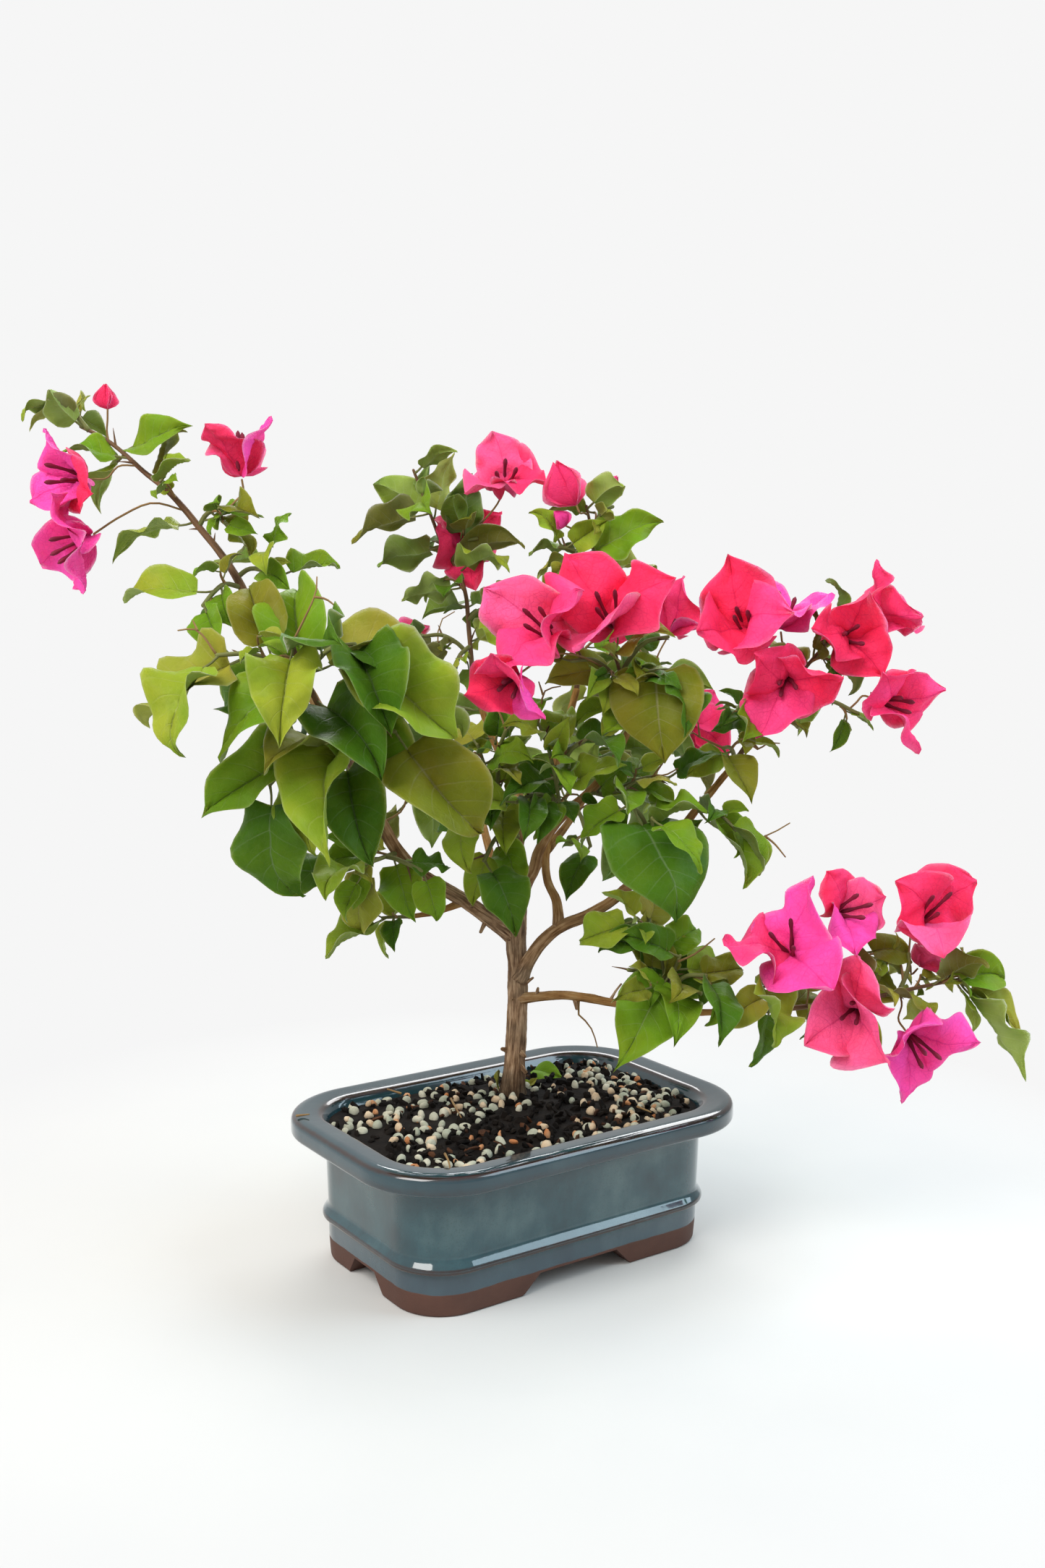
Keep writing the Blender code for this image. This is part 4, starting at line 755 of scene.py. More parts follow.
def grow_twigs(name, crowd, stem):
    """The twigs of one mass (path, radii), its stem first, with None for a shoot that has no room."""
    mass = MASSES[name]
    foot, tip = mass.thick
    radii = [(foot + (tip - foot) * k / (len(stem) - 1)) * MM for k in range(len(stem))]
    twigs = [(stem, radii)]
    crowd.add(tube(stem, radii, STEM_FACETS), f"{name} 0")
    thin = [(TWIG_RADIUS[0] + (TWIG_RADIUS[1] - TWIG_RADIUS[0]) * k / 3) * MM for k in range(4)]
    for start, end, _, _, _ in mass.shoots:
        root, ahead = along(stem, start)
        path = shoot_path(root, ahead, [spot(*end)], 4)
        if crowd.meets(tube(path[1:], thin[1:], TWIG_FACETS)):
            twigs.append(None)
            continue
        crowd.add(tube(path, thin, TWIG_FACETS), f"{name} {len(twigs)}")
        twigs.append((path, thin))
    return twigs


def grow_mass(name, crowd, stems):
    """The twigs, leaves and blossoms of one mass."""
    mass = MASSES[name]
    twigs = grow_twigs(name, crowd, stems[name])
    draw = random.Random(f"{name} blossom {mass.seeds[1]}")
    blossoms = []
    for start, place, size, looks in mass.blossom:
        index = int(start) if start > 1 else 0
        if twigs[index]:
            root, ahead = along(twigs[index][0], start - index)
            blossoms.append(put_blossom(root, ahead, spot(*place), size, looks, draw, crowd, name,
                                        f"{name} {index}"))
    draw = random.Random(f"{name} leaf {mass.seeds[0]}")
    leaves = [set_leaf(spot(*tip), length, twigs, draw, crowd, name) for tip, length in mass.tips]
    rows = [(mass.leaves[0], STEM_LEAVES_FROM, mass.leaves[1:])]
    for _, _, count, first, last in mass.shoots:
        rows.append((count, SHOOT_LEAVES_FROM, (first, (first + last) / 2, last)))
    for index, (count, first_at, (low, middle, high)) in enumerate(rows):
        turn = draw.uniform(0, 2 * math.pi)
        for k in range(count if twigs[index] else 0):
            share = k / max(count - 1, 1)
            node, ahead = along(twigs[index][0], first_at + (LEAVES_UP_TO - first_at) * share)
            length = (1 - share) * (1 - 2 * share) * low + 4 * share * (1 - share) * middle \
                + share * (2 * share - 1) * high
            length *= draw.uniform(*LEAF_LENGTHS)
            leaves.append(put_leaf(node, ahead, turn, length, mass.droop, draw, crowd, stems, name,
                                   f"{name} {index}"))
            turn += GOLDEN + draw.uniform(-TURN_STRAY, TURN_STRAY)
    return twigs, leaves, [blossom for blossom in blossoms if blossom]


# How finely the finished pieces are cut, in millimetres or in steps.
TRUNK_STEP = 0.8
BOUGH_STEP = 1.1
TWIG_STEP = 2.0
TRUNK_SIDES = 56
BOUGH_SIDES = 28
TWIG_SIDES = 9
STALK_SIDES = 6
FINE_COLUMNS = (-1.0, -0.82, -0.60, -0.38, -0.16, 0.0, 0.16, 0.38, 0.60, 0.82, 1.0)
PLAIN_COLUMNS = (-1.0, -0.66, -0.33, 0.0, 0.33, 0.66, 1.0)
# Where two faces of a blade meet at a sharper angle than this, in degrees, the edge shows.
BLADE_SHARP = 75

# A blade in millimetres: its thickness, and the keel under its midrib.
BLADE_THICK = 0.32
BRACT_THICK = 0.24
KEEL = 0.35

# A blade's outline: its half width, as a share of the widest, at shares of its length; how far it laps back
# beside its foot, and how far its edge runs ahead of its middle.
Outline = namedtuple("Outline", "shares halves widest lobe lead")
LEAF_OUTLINE = Outline((0, 0.03, 0.08, 0.17, 0.30, 0.44, 0.58, 0.71, 0.82, 0.91, 1.0),
                       (0.10, 0.50, 0.79, 0.98, 1.0, 0.88, 0.66, 0.39, 0.18, 0.07, 0.0), 0.41, 0.06, 0.07)
HEART_OUTLINE = LEAF_OUTLINE._replace(
    halves=(0.10, 0.60, 0.88, 1.0, 0.98, 0.86, 0.67, 0.43, 0.21, 0.08, 0.0), lobe=0.15)
BRACT_OUTLINE = Outline((0, 0.04, 0.11, 0.22, 0.36, 0.52, 0.67, 0.80, 0.90, 0.96, 1.0),
                        (0.10, 0.46, 0.77, 0.96, 1.0, 0.92, 0.74, 0.45, 0.20, 0.07, 0.0), 0.42, 0.03, 0.06)

# How a blade departs from flat: the fold along its middle, the hollow across it, the twist along it, its
# bend to one side, the ripple of its edge (size and count), the depth of its veins, its crumple, how much of
# its curl comes at the tip, and its width as a share of the outline's.
Shape = namedtuple("Shape", "fold hollow twist bend ripple waves veins crumple hook wide")

# How fast each of these grows: the rows thin out towards the tip, the lobes lie close to the foot, the edge
# runs ahead and laps back most at its rim, and the bend comes near the tip.
ROW_GROWTH = 1.12
LOBE_NEAR = 0.05
LEAD_GROWTH = 1.3
LOBE_GROWTH = 1.5
BEND_GROWTH = 2.4
# The shares of a blade's length, from its lobes to its tip, at which its curl is added up.
ARC = np.linspace(-0.2, 1.0, 97)


def linked(name, data):
    """A new object of that mesh, lamp or camera in the scene."""
    thing = bpy.data.objects.new(name, data)
    bpy.context.scene.collection.objects.link(thing)
    return thing


def plain_mesh(name, points, faces):
    mesh = bpy.data.meshes.new(name)
    mesh.from_pydata(points, [], faces)
    return mesh


def finished(name, mesh, finishes, sharp=None):
    """An object of a mesh built round the pot's middle, shaded smooth and given its finishes."""
    mesh.transform(Matrix.Translation(MIDDLE))
    mesh.validate()
    mesh.shade_smooth()
    if sharp:
        mesh.set_sharp_from_angle(angle=math.radians(sharp))
    for finish in finishes:
        mesh.materials.append(finish)
    return linked(name, mesh)


class Bunch:
    """Points and faces of one kind gathered for a joined piece, with a map and a grain for its finish."""

    def __init__(self):
        self.points = []
        self.faces = []
        self.kinds = []
        self.maps = []
        self.grain = []
        self.young = []

    def add(self, points, faces, kinds, maps=None, grain=None, young=0.0):
        first = len(self.points)
        count = len(points)
        self.points.extend(tuple(point) for point in points)
        self.faces.extend(tuple(first + corner for corner in face) for face in faces)
        self.kinds.extend(kinds if isinstance(kinds, list) else [kinds] * len(faces))
        self.maps.extend(maps or [(0.5, 0.5)] * count)
        self.grain.extend(grain or [(0.0, 0.0, 0.0)] * count)
        self.young.extend(young if isinstance(young, list) else [young] * count)

    def piece(self, name, finishes, sharp=None):
        """The finished object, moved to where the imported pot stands."""
        mesh = plain_mesh(name, self.points, self.faces)
        mesh.polygons.foreach_set("material_index", self.kinds)
        corners = np.empty(len(mesh.loops), dtype=np.int32)
        mesh.loops.foreach_get("vertex_index", corners)
        layer = mesh.uv_layers.new(name="along")
        layer.data.foreach_set("uv", np.array(self.maps, dtype=np.float32)[corners].ravel())
        grain = mesh.attributes.new("grain", "FLOAT_VECTOR", "POINT")
        grain.data.foreach_set("vector", np.array(self.grain, dtype=np.float32).ravel())
        young = mesh.attributes.new("young", "FLOAT", "POINT")
        young.data.foreach_set("value", np.array(self.young, dtype=np.float32))
        return finished(name, mesh, finishes, sharp)


def unit(vector):
    return vector / np.linalg.norm(vector)


def curled(curl, hook, level):
    """A blade's curve at each share of ARC: how far ahead and down, its bend, and its lift at the foot."""
    bends = curl * ((1 - hook) * ARC + hook * np.abs(ARC) ** 3)
    step = ARC[1] - ARC[0]
    ahead = np.cumsum(np.cos(bends)) * step
    down = np.cumsum(np.sin(bends)) * step
    ahead -= np.interp(0.0, ARC, ahead)
    down -= np.interp(0.0, ARC, down)
    return ahead, down, bends, math.atan2(down[-1], ahead[-1]) - level


def blade_surface(outline, shape, foot, aim, face, length, curl, rows, columns, draw, level):
    """The blade's upper side as a grid of points, one row a vein, with the way up at each of them.

    Its tip lies the given angle below its aim, however its curl is spread.
    """
    shares = (np.arange(rows + 1) / rows) ** ROW_GROWTH
    share = np.repeat(shares[:, None], len(columns), 1)
    across = np.repeat(np.array(columns)[None, :], rows + 1, 0)
    half = np.interp(share, outline.shares, outline.halves) * outline.widest * shape.wide * length
    off = np.abs(across)
    at = share + outline.lead * np.sin(np.pi * share) * off ** LEAD_GROWTH
    at -= outline.lobe * share / LOBE_NEAR * np.exp(1 - share / LOBE_NEAR) * off ** LOBE_GROWTH
    at = np.minimum(at, 1.0)
    ahead, down, bends, lift = curled(curl, shape.hook, level)
    aim, face = unit(np.array(aim)), unit(np.array(face))
    side = np.cross(face, aim)
    aim, face = aim * math.cos(lift) + face * math.sin(lift), face * math.cos(lift) - aim * math.sin(lift)
    turn = np.interp(at, ARC, bends)[..., None]
    middle = np.array(foot) + (aim * np.interp(at, ARC, ahead)[..., None]
                               - face * np.interp(at, ARC, down)[..., None]) * length
    up = face * np.cos(turn) + aim * np.sin(turn)
    spin = (shape.twist * at)[..., None]
    flank = side * np.cos(spin) + up * np.sin(spin)
    up = up * np.cos(spin) - side * np.sin(spin)
    waves = shape.waves * at * 2 * np.pi + np.where(across > 0, draw.uniform(0, 6.28), draw.uniform(0, 6.28))
    rise = shape.fold * half * off + shape.hollow * half * off ** 2
    rise += shape.ripple * half * off ** 2 * np.sin(waves)
    parity = (np.arange(rows + 1) % 2)[:, None]
    rise += shape.veins * MM * (parity - 0.5) * np.sin(np.pi * share) * (1 - off ** 4)
    rise -= shape.veins * MM * (off == 0) * 1.2
    shift = across * half + shape.bend * length * np.abs(at) ** BEND_GROWTH
    points = middle + flank * shift[..., None] + up * rise[..., None]
    seed = Vector((draw.uniform(0, 50), draw.uniform(0, 50), draw.uniform(0, 50)))
    for k in range(rows + 1):
        for j in range(len(columns)):
            place = Vector((share[k, j] * 2.6, across[k, j] * 1.3, 0)) + seed
            swell = noise.noise(place) + 0.4 * noise.noise(place * 2.7)
            points[k, j] += up[k, j] * swell * shape.crumple * length * min(share[k, j] * 5, 1)
    return points, up, share, across


def add_blade(bunch, outline, shape, foot, aim, face, length, curl, rows, columns, kinds, draw, level,
              thick=BLADE_THICK):
    """A closed thin blade: its two sides meet along its edge, at its foot and at its tip."""
    points, up, share, across = blade_surface(outline, shape, foot, aim, face, length, curl, rows, columns,
                                              draw, level)
    many = len(columns)
    depth = np.full(share.shape, thick * MM)
    depth += (across == 0) * KEEL * MM * (1 - share)
    top = {}
    low = {}
    places = []
    maps = []
    for k in range(rows + 1):
        for j in range(many):
            if k == rows and j:
                top[k, j] = low[k, j] = top[k, 0]
                continue
            top[k, j] = low[k, j] = len(places)
            places.append(points[k, j] if k < rows else points[k].mean(0))
            maps.append((0.5 + across[k, j] / 2 if k < rows else 0.5, share[k, j]))
            if 0 < k < rows and 0 < j < many - 1:
                low[k, j] = len(places)
                places.append(points[k, j] - up[k, j] * depth[k, j])
                maps.append(maps[-1])
    faces = []
    sides = []
    for k in range(rows):
        for j in range(many - 1):
            cell = ((k, j), (k, j + 1), (k + 1, j + 1), (k + 1, j))
            halves = ((0, 1, 2), (0, 2, 3)) if j < many // 2 else ((0, 1, 3), (1, 2, 3))
            for corners in halves:
                upper = tuple(top[cell[corner]] for corner in reversed(corners))
                lower = tuple(low[cell[corner]] for corner in corners)
                for triangle, kind in ((upper, kinds[0]), (lower, kinds[1])):
                    if len(set(triangle)) == 3:
                        faces.append(triangle)
                        sides.append(kind)
    bunch.add(places, faces, sides, maps)


def bark_relief(x, y, run):
    """How far bark stands out at a place on its own grain, as a share of its relief."""
    knob = noise.noise(Vector((x * 0.3, y * 0.3, run * 0.11 + 90.0)))
    fibre = noise.fractal(Vector((x * 0.9, y * 0.9, run * 0.13)), 0.7, 2.1, 4)
    ridge = 0.5 - abs(noise.noise(Vector((x * 0.5, y * 0.5, run * 0.06 + 40.0))))
    return fibre * 0.55 + ridge * 0.7 + knob * 0.9


def add_tube(bunch, path, radii, sides, kind, relief=0.0, seed=0.0, young=0.0, round_end=True):
    """A closed round tube, with bark of that relief in fibres along it and a rounded far end."""
    if round_end:
        ahead = (path[-1] - path[-2]).normalized()
        path = [*path, path[-1] + ahead * radii[-1] * 0.6, path[-1] + ahead * radii[-1] * 0.9]
        radii = [*radii, radii[-1] * 0.75, radii[-1] * 0.3]
    points = []
    grain = []
    run = seed
    for k, (centre, ring) in enumerate(spokes(path, sides)):
        run += (centre - path[k - 1]).length / MM if k else 0.0
        for turn, out in ring:
            radius = radii[k]
            thread = Vector((math.cos(turn) * radius / MM, math.sin(turn) * radius / MM, run))
            if relief:
                radius += relief * bark_relief(thread.x, thread.y, run) * MM
            points.append(centre + out * radius)
            grain.append(thread * MM)
    bunch.add(points, ring_faces(sides, len(path)), kind, grain=grain, young=young)


# The limbs' finish, in millimetres: bark over the trunk's solid, the swelling where a bough leaves its parent
# and how far it runs, and the relief of the bark.
OLD_BARK = 0.55
COLLAR = 0.55
COLLAR_LONG = 6.0
PAST_COLLAR = 60.0
TRUNK_RELIEF = 0.50
BOUGH_RELIEF = 0.30
STUB_RELIEF = 0.35
STUB_SIDES = 12
STUB_TAPER = 0.45
TWIG_RELIEF = 0.10
# Wood this thick, in radius, is old, and wood that is thinner by this much is young all through.
OLD_WOOD = 3.8
YOUNG_WOOD = 2.2

# Old stubs and slabs of bark: the limb, the share of its length, which way it points, its length and its
# radius at the foot.
STUBS = [("trunk", 0.20, (-1, 0.5, 0.5), 2.6, 1.9), ("trunk", 0.17, (1, 0.9, -0.9), 3.6, 1.8),
         ("trunk", 0.225, (0.8, 1, -0.4), 2.6, 1.7), ("trunk", 0.60, (1.0, 0.5, 0.5), 3, 1.4),
         ("trunk", 0.50, (1.0, 0.6, 1.1), 7, 1.1), ("bough_low_right", 0.10, (0.1, 0.6, 1), 3.6, 1.0),
         ("bough_low_right", 0.27, (0.2, 0.2, -1), 4.0, 1.2),
         ("bough_low_right", 0.42, (0.6, 0.2, 1), 9, 0.7),
         ("bough_left", 0.12, (-0.3, 1, 0.3), 4, 1.3), ("bough_left", 0.08, (-0.6, 0.4, -1), 4.5, 1.4)]


def limb_radius(name, share, high, run):
    """A limb's radius in metres at a share of its length, swollen where it leaves its parent."""
    if name == "trunk":
        return trunk_girth(high, OLD_BARK)[0] * MM
    foot, tip = LIMBS[name].thick
    return (foot + (tip - foot) * share) * (1 + COLLAR * math.exp(-run / COLLAR_LONG)) * MM


def add_stub(bunch, order, name, share, way, length, thick):
    """A stub that stands out of a limb's bark."""
    foot, _ = along(limb_path(name), share)
    out = facing(way)
    girth = limb_radius(name, share, (foot.z - FOOT.z) / MM, PAST_COLLAR)
    tip = foot + out * (girth + length * MM)
    run = stepped([foot + out * girth * 0.4, foot.lerp(tip, 0.6) + UPWARD * 0.4 * MM, tip], 1.0)
    radii = [thick * MM * (1 - STUB_TAPER * j / (len(run) - 1)) for j in range(len(run))]
    add_tube(bunch, run, radii, STUB_SIDES, 0, STUB_RELIEF, 70.0 * order, 0.1)


def make_limbs(bark):
    """One piece for the trunk and its boughs, with fibres, stubs and collars in the bark."""
    bunch = Bunch()
    for order, name in enumerate(LIMBS):
        trunk = name == "trunk"
        sides = TRUNK_SIDES if trunk else BOUGH_SIDES
        path = stepped(solid_path(name), TRUNK_STEP if trunk else BOUGH_STEP)
        if trunk:
            path = [path[0] + DOWN * 4 * MM, *path]
        radii = []
        young = []
        run = 0.0
        for k, point in enumerate(path):
            run += (point - path[k - 1]).length / MM if k else 0.0
            share = k / (len(path) - 1)
            radii.append(limb_radius(name, share, max((point.z - FOOT.z) / MM, 0.0), run))
            young += [min(max((OLD_WOOD * MM - radii[-1]) / (YOUNG_WOOD * MM), 0.0), 1.0)] * sides
        young += [young[-1]] * sides * 2
        add_tube(bunch, path, radii, sides, 0, TRUNK_RELIEF if trunk else BOUGH_RELIEF, order * 400.0, young)
    for order, stub in enumerate(STUBS):
        add_stub(bunch, order, *stub)
    return bunch.piece("bark_of_trunk_and_boughs", [bark])


# The tints of leaves, and how they are dealt by the mass that they grow on.
LEAF_TINTS = ["deep", "mid", "fresh", "lime", "olive"]
DEEP, MID, FRESH, LIME, OLIVE = range(len(LEAF_TINTS))
TINTS = {
    "foliage_upper_left": (0, 3, 4, 3, 3), "foliage_left": (3, 5, 5, 2, 3),
    "foliage_left_lower": (3, 3, 3, 2, 2), "foliage_low_left": (1, 3, 4, 2, 1),
    "foliage_top_left": (1, 3, 5, 2, 4), "foliage_top": (1, 3, 3, 3, 3), "foliage_right": (3, 4, 4, 1, 2),
    "foliage_right_front": (5, 4, 2, 0, 0), "foliage_right_under": (5, 4, 1, 0, 0),
    "foliage_low_right_inner": (4, 5, 3, 1, 1), "foliage_low_right": (3, 4, 4, 2, 3),
}
PLAIN_TINTS = (2, 6, 6, 2, 2)
# The tints of the leaves that make each mass's outline, in the order of their tips.
TIP_TINTS = {
    "foliage_upper_left": (FRESH, MID, MID, FRESH, MID, LIME),
    "foliage_left": (LIME, MID, MID, LIME, FRESH, MID, OLIVE, FRESH, OLIVE, LIME, DEEP),
    "foliage_low_left": (FRESH,), "foliage_top_left": (OLIVE, MID, FRESH, OLIVE, LIME, FRESH),
    "foliage_top": (MID, FRESH, OLIVE, LIME, FRESH), "foliage_centre_blossom": (OLIVE,),
    "foliage_right": (OLIVE, MID), "foliage_right_front": (DEEP,), "foliage_right_under": (MID,),
    "foliage_low_right_inner": (MID, OLIVE), "foliage_low_right": (FRESH, LIME, MID, DEEP),
}
# Painted light: leaves nearer the light, to the upper left, are dealt paler tints and those away from it
# deeper ones: which way the light lies, how far it shifts each tint, and over how many millimetres.
SUN = facing((-0.75, 0.1, 0.65))
PAINTED_SUN_SHIFT = (-1.5, -0.5, 0.5, 1.4, 0.4)
SUN_REACH = 22.0
# Heart-shaped leaves, by the order of their tips, and what sets their shape apart.
HEARTS = {("foliage_centre_blossom", 0), ("foliage_right_front", 0), ("foliage_low_right_inner", 1)}
HEART_SHAPE = {"fold": 0.16, "hollow": -0.2, "twist": 0.15, "bend": 0.05, "ripple": 0.1, "hook": 0.6,
               "wide": 1.22}
# The heart-shaped leaf that hangs straight down with its face to the front: the way of its tip and its face.
TURNED = {("foliage_centre_blossom", 0): ((0.05, 0.25, -1.0), (-0.1, 1.0, 0.25))}
# Masses whose leaves are folded more along their middle.
FOLDED = {"foliage_left": 0.35, "foliage_low_left": 0.2}
# Where leaves lie flatter: from which leaf on, and from what height; and how much.
FLAT_TOP = {"foliage_left": (8, 205)}
FLATTER = 1.3
# Masses whose leaves are smaller than the solids'.
SHRUNK = {"foliage_centre": 0.95, "foliage_centre_left": 0.95, "foliage_centre_right": 0.95,
          "foliage_inner_right": 0.92, "foliage_back_left": 0.88, "foliage_back_right": 0.88}
# A leaf up to this length is made of fewer faces, with a thinner stalk, shallower veins and a calmer shape.
SMALL_LEAF = 19.0
SMALL_CALM = 0.45
LEAF_ROWS = (12, 20)
VEIN_DEPTHS = (0.12, 0.34)
LEAF_STALKS = (0.42, 0.62)
STALK_TAPER = (1.3, 1.0, 0.9, 0.9, 0.8)

# The tints of bracts, and how they are dealt.
BRACT_TINTS = ["pink", "magenta", "crimson", "rose"]
BLOSSOM_TINTS = {"foliage_upper_left": (5, 3, 2, 3), "foliage_centre_blossom": (5, 2, 4, 3),
                 "foliage_right": (5, 5, 3, 3), "foliage_low_right": (4, 6, 1, 3)}
PLAIN_BLOSSOM = (4, 2, 3, 3)
SAME_TINT = 0.6
# How much larger than the solids' the bracts are, which are thinner and overlap.
BRACT_SCALES = {"foliage_upper_left": 0.98, "foliage_centre_blossom": 1.18, "foliage_right": 1.14}
BRACT_SCALE = 1.07
BRACT_ROWS = 24
# Where a blossom that faces the sky is still half closed, how steeply it stands and how far it is open.
CUPPED = {"foliage_upper_left"}
CUP_STEEP = 0.7
CUP_OPEN = 0.7
# How far the bracts of such a one and of a bud are turned, so that one edge of each lies inside its neighbour
# and the other outside.
WRAPPED = 0.24
# A bud: how far its three bracts lean out and curl back in, and their rows.
BUD_LEAN = 0.42
BUD_CURL = -0.85
BUD_ROWS = 10
BUD_SHAPE = Shape(fold=0.25, hollow=0.75, twist=0.3, bend=0.05, ripple=0.05, waves=1.5, veins=0.1,
                  crumple=0.02, hook=0.0, wide=1.0)
# The dark tubes in a blossom: their length as a share of the bract's, and their girth in millimetres.
TUBE_LONG = (0.46, 0.58)
TUBE_GIRTH = ((0.0, 0.6), (0.10, 1.05), (0.25, 1.1), (0.45, 0.7), (0.70, 0.8), (0.86, 1.15), (0.96, 0.95),
              (1.0, 0.4))

# The twigs' finishes: brown where they are thicker than this radius in millimetres, green, and fresh.
TWIG_BROWN, TWIG_GREEN, TWIG_FRESH = range(3)
OLD_TWIG = 1.25
# The finer twigs: how far apart they stand on a twig, how long they are, and their small leaves.
FINE_APART = 15.0
FINE_LONG = (7.0, 15.0)
FINE_LEAVES = (2, 3)
FINE_LEAF = (9.0, 20.0)
FINE_DROOP = 0.3
FINE_GIRTH = (0.75, 0.25)
# The share of them that are thorns, and a thorn's girth from its foot to its point.
THORN_SHARE = 0.45
THORN_GIRTH = (0.8, 0.62, 0.5, 0.4, 0.28, 0.12)
# Thin bare twigs that fork or hook away from the nearest wood, and below this height slivers that lie on the
# soil and the rim: their places.
LOOSE_HIGH = 15
FORKS = [((110, 19, 133), (120, 19, 134), (131, 18, 140)), ((119, 19, 134), (124, 19, 130), (129, 20, 124)),
         ((117, 7, 174), (121, 7, 177), (127, 7, 177)), ((117, 7, 174), (115, 7, 177), (116, 7, 181)),
         ((87, 21, 181), (84, 21, 183), (81, 21, 182)), ((87, 21, 181), (86, 21, 188)),
         ((31, -12, 186), (34, -12, 189), (36, -13, 194)), ((-81, 114, 245), (-80, 113, 253)),
         ((-81, 114, 245), (-76, 114, 244), (-71, 114, 240)), ((-130, 107, 231), (-138, 107, 231)),
         ((-130, 107, 231), (-132, 106, 235)), ((-43, -100, 199), (-34, -101, 201), (-25, -101, 205)),
         ((-43, -100, 199), (-43, -102, 217), (-42, -104, 232), (-34, -105, 238)),
         ((32, 13, 44), (36, 14, 41), (39, 15, 36), (41, 15, 29)), ((76, 39, 77), (85, 38, 81), (94, 37, 88)),
         ((13, 33, 201), (16, 33, 204), (21, 32, 205)), ((13, 33, 201), (11, 32, 207)),
         ((-7, 37, 193), (-10, 37, 196), (-14, 36, 201)), ((65, 31, 164), (70, 31, 164), (76, 30, 167)),
         ((65, 31, 164), (70, 30, 171)), ((-52, 32, 147), (-50, 31, 156)),
         ((-29, 95, 4.6), (-27, 103, 4.2), (-26, 108, 2.4)), ((-55, 7, 2.4), (-62, 5, 4)),
         ((-30, 18, 3.6), (-24, 42, 2.6)), ((60, 26, 3), (66, 34, 3)), ((-101, 47, 4.6), (-95, 46, 5.0))]
# How far such a twig's foot may lie from the wood before a stretch joins them, and its girth at its foot and
# what it loses at each step.
FORK_GAP = 0.8
FORK_GIRTH = (0.62, 0.05)
# Leaves that lie on the soil: the tint, from where to where, and how far each is rolled over.
FALLEN = [(MID, (11, -33, 2.6), (25, -24, 3.2), 0.35), (OLIVE, (-7, -5, 11), (-9.5, 0, 2.4), 0.9),
          (LIME, (8, -9, 1.6), (12, -10, 6), 0.2), (FRESH, (8, -9, 1.6), (5.5, -11, 5.5), -0.3)]
FALLEN_SHAPE = Shape(fold=0.3, hollow=-0.1, twist=0.3, bend=0.1, ripple=0.12, waves=1.6, veins=0.15,
                     crumple=0.04, hook=0.3, wide=0.95)
# The masses whose leaves are joined into the left piece. The others' go into the right one.
LEFT_MASSES = {"foliage_upper_left", "foliage_left", "foliage_left_lower", "foliage_low_left",
               "foliage_top_left", "foliage_top", "foliage_back_left"}


def dealt(draw, weights):
    """One kind drawn by its weight."""
    return draw.choices(range(len(weights)), weights)[0]


def painted_light_weights(weights, leaf, name):
    """The weights of the tints, shifted by how near the light the leaf stands in its mass: painted light,
    paler towards it and deeper away.
    """
    place = (leaf.node - stem_path(name)[-1]) / MM
    near = max(min(place.dot(SUN) / SUN_REACH, 1.0), -1.0)
    return [weight * math.exp(shift * near) for weight, shift in zip(weights, PAINTED_SUN_SHIFT)]


def leaf_form(name, order, big, draw):
    """A leaf's outline and shape, drawn by what its mass and its size allow."""
    heart = (name, order) in HEARTS
    outline = HEART_OUTLINE if heart else LEAF_OUTLINE._replace(lobe=draw.uniform(0.03, 0.09))
    calm = 1.0 if big else SMALL_CALM
    shape = Shape(fold=draw.uniform(0.20, 0.80) + FOLDED.get(name, 0.0), hollow=draw.uniform(-0.5, 0.06),
                  twist=draw.uniform(-0.9, 0.9) * calm, bend=draw.uniform(-0.20, 0.20),
                  ripple=draw.uniform(0.14, 0.46) * calm, waves=draw.uniform(1.0, 2.4),
                  veins=VEIN_DEPTHS[big], crumple=0.055, hook=draw.uniform(0.4, 1.1),
                  wide=draw.uniform(0.68, 0.92))
    return outline, shape._replace(**HEART_SHAPE) if heart else shape


def add_leaf(bunch, stalks, leaf, name, order, draw):
    """A leaf and its stalk in the place that the rule gave them."""
    # Painted light: the tint is dealt paler on the side of the mass towards the light, deeper away from it.
    tint = dealt(draw, painted_light_weights(TINTS.get(name, PLAIN_TINTS), leaf, name))
    set_tints = TIP_TINTS.get(name, ())
    if order < len(set_tints):
        tint = set_tints[order]
    big = leaf.length > SMALL_LEAF
    outline, shape = leaf_form(name, order, big, draw)
    stalk, _, _ = leaf_size(leaf.length)
    foot = leaf.node + leaf.aim * stalk
    if name in FLAT_TOP:
        first, high = FLAT_TOP[name]
        if order >= first and leaf.node.z > spot(0, 0, high).z:
            leaf = leaf._replace(face=square_to(leaf.aim, leaf.face + UPWARD * FLATTER))
    if (name, order) in TURNED:
        middle = foot + leaf.aim * leaf.length * MM / 2
        aim, face = (facing(way) for way in TURNED[name, order])
        leaf = leaf._replace(aim=aim, face=face)
        foot = middle - aim * leaf.length * MM / 2
    curl = leaf.curl * 1.2 + draw.uniform(0.2, 1.0)
    length = leaf.length * MM * (1.0 + 0.03 * curl) * SHRUNK.get(name, 1.0)
    add_blade(bunch, outline, shape, foot, leaf.aim, leaf.face, length, curl, LEAF_ROWS[big],
              FINE_COLUMNS if big else PLAIN_COLUMNS, (tint, tint + len(LEAF_TINTS)), draw, leaf.curl / 2)
    sag = leaf.face * -0.06 * stalk
    path = smooth_path([leaf.node, leaf.node.lerp(foot, 0.5) + sag, foot + leaf.aim * 0.6 * MM], 5)
    thick = LEAF_STALKS[big] * MM
    add_tube(stalks, path, [thick * share for share in STALK_TAPER], STALK_SIDES, TWIG_GREEN, round_end=False)


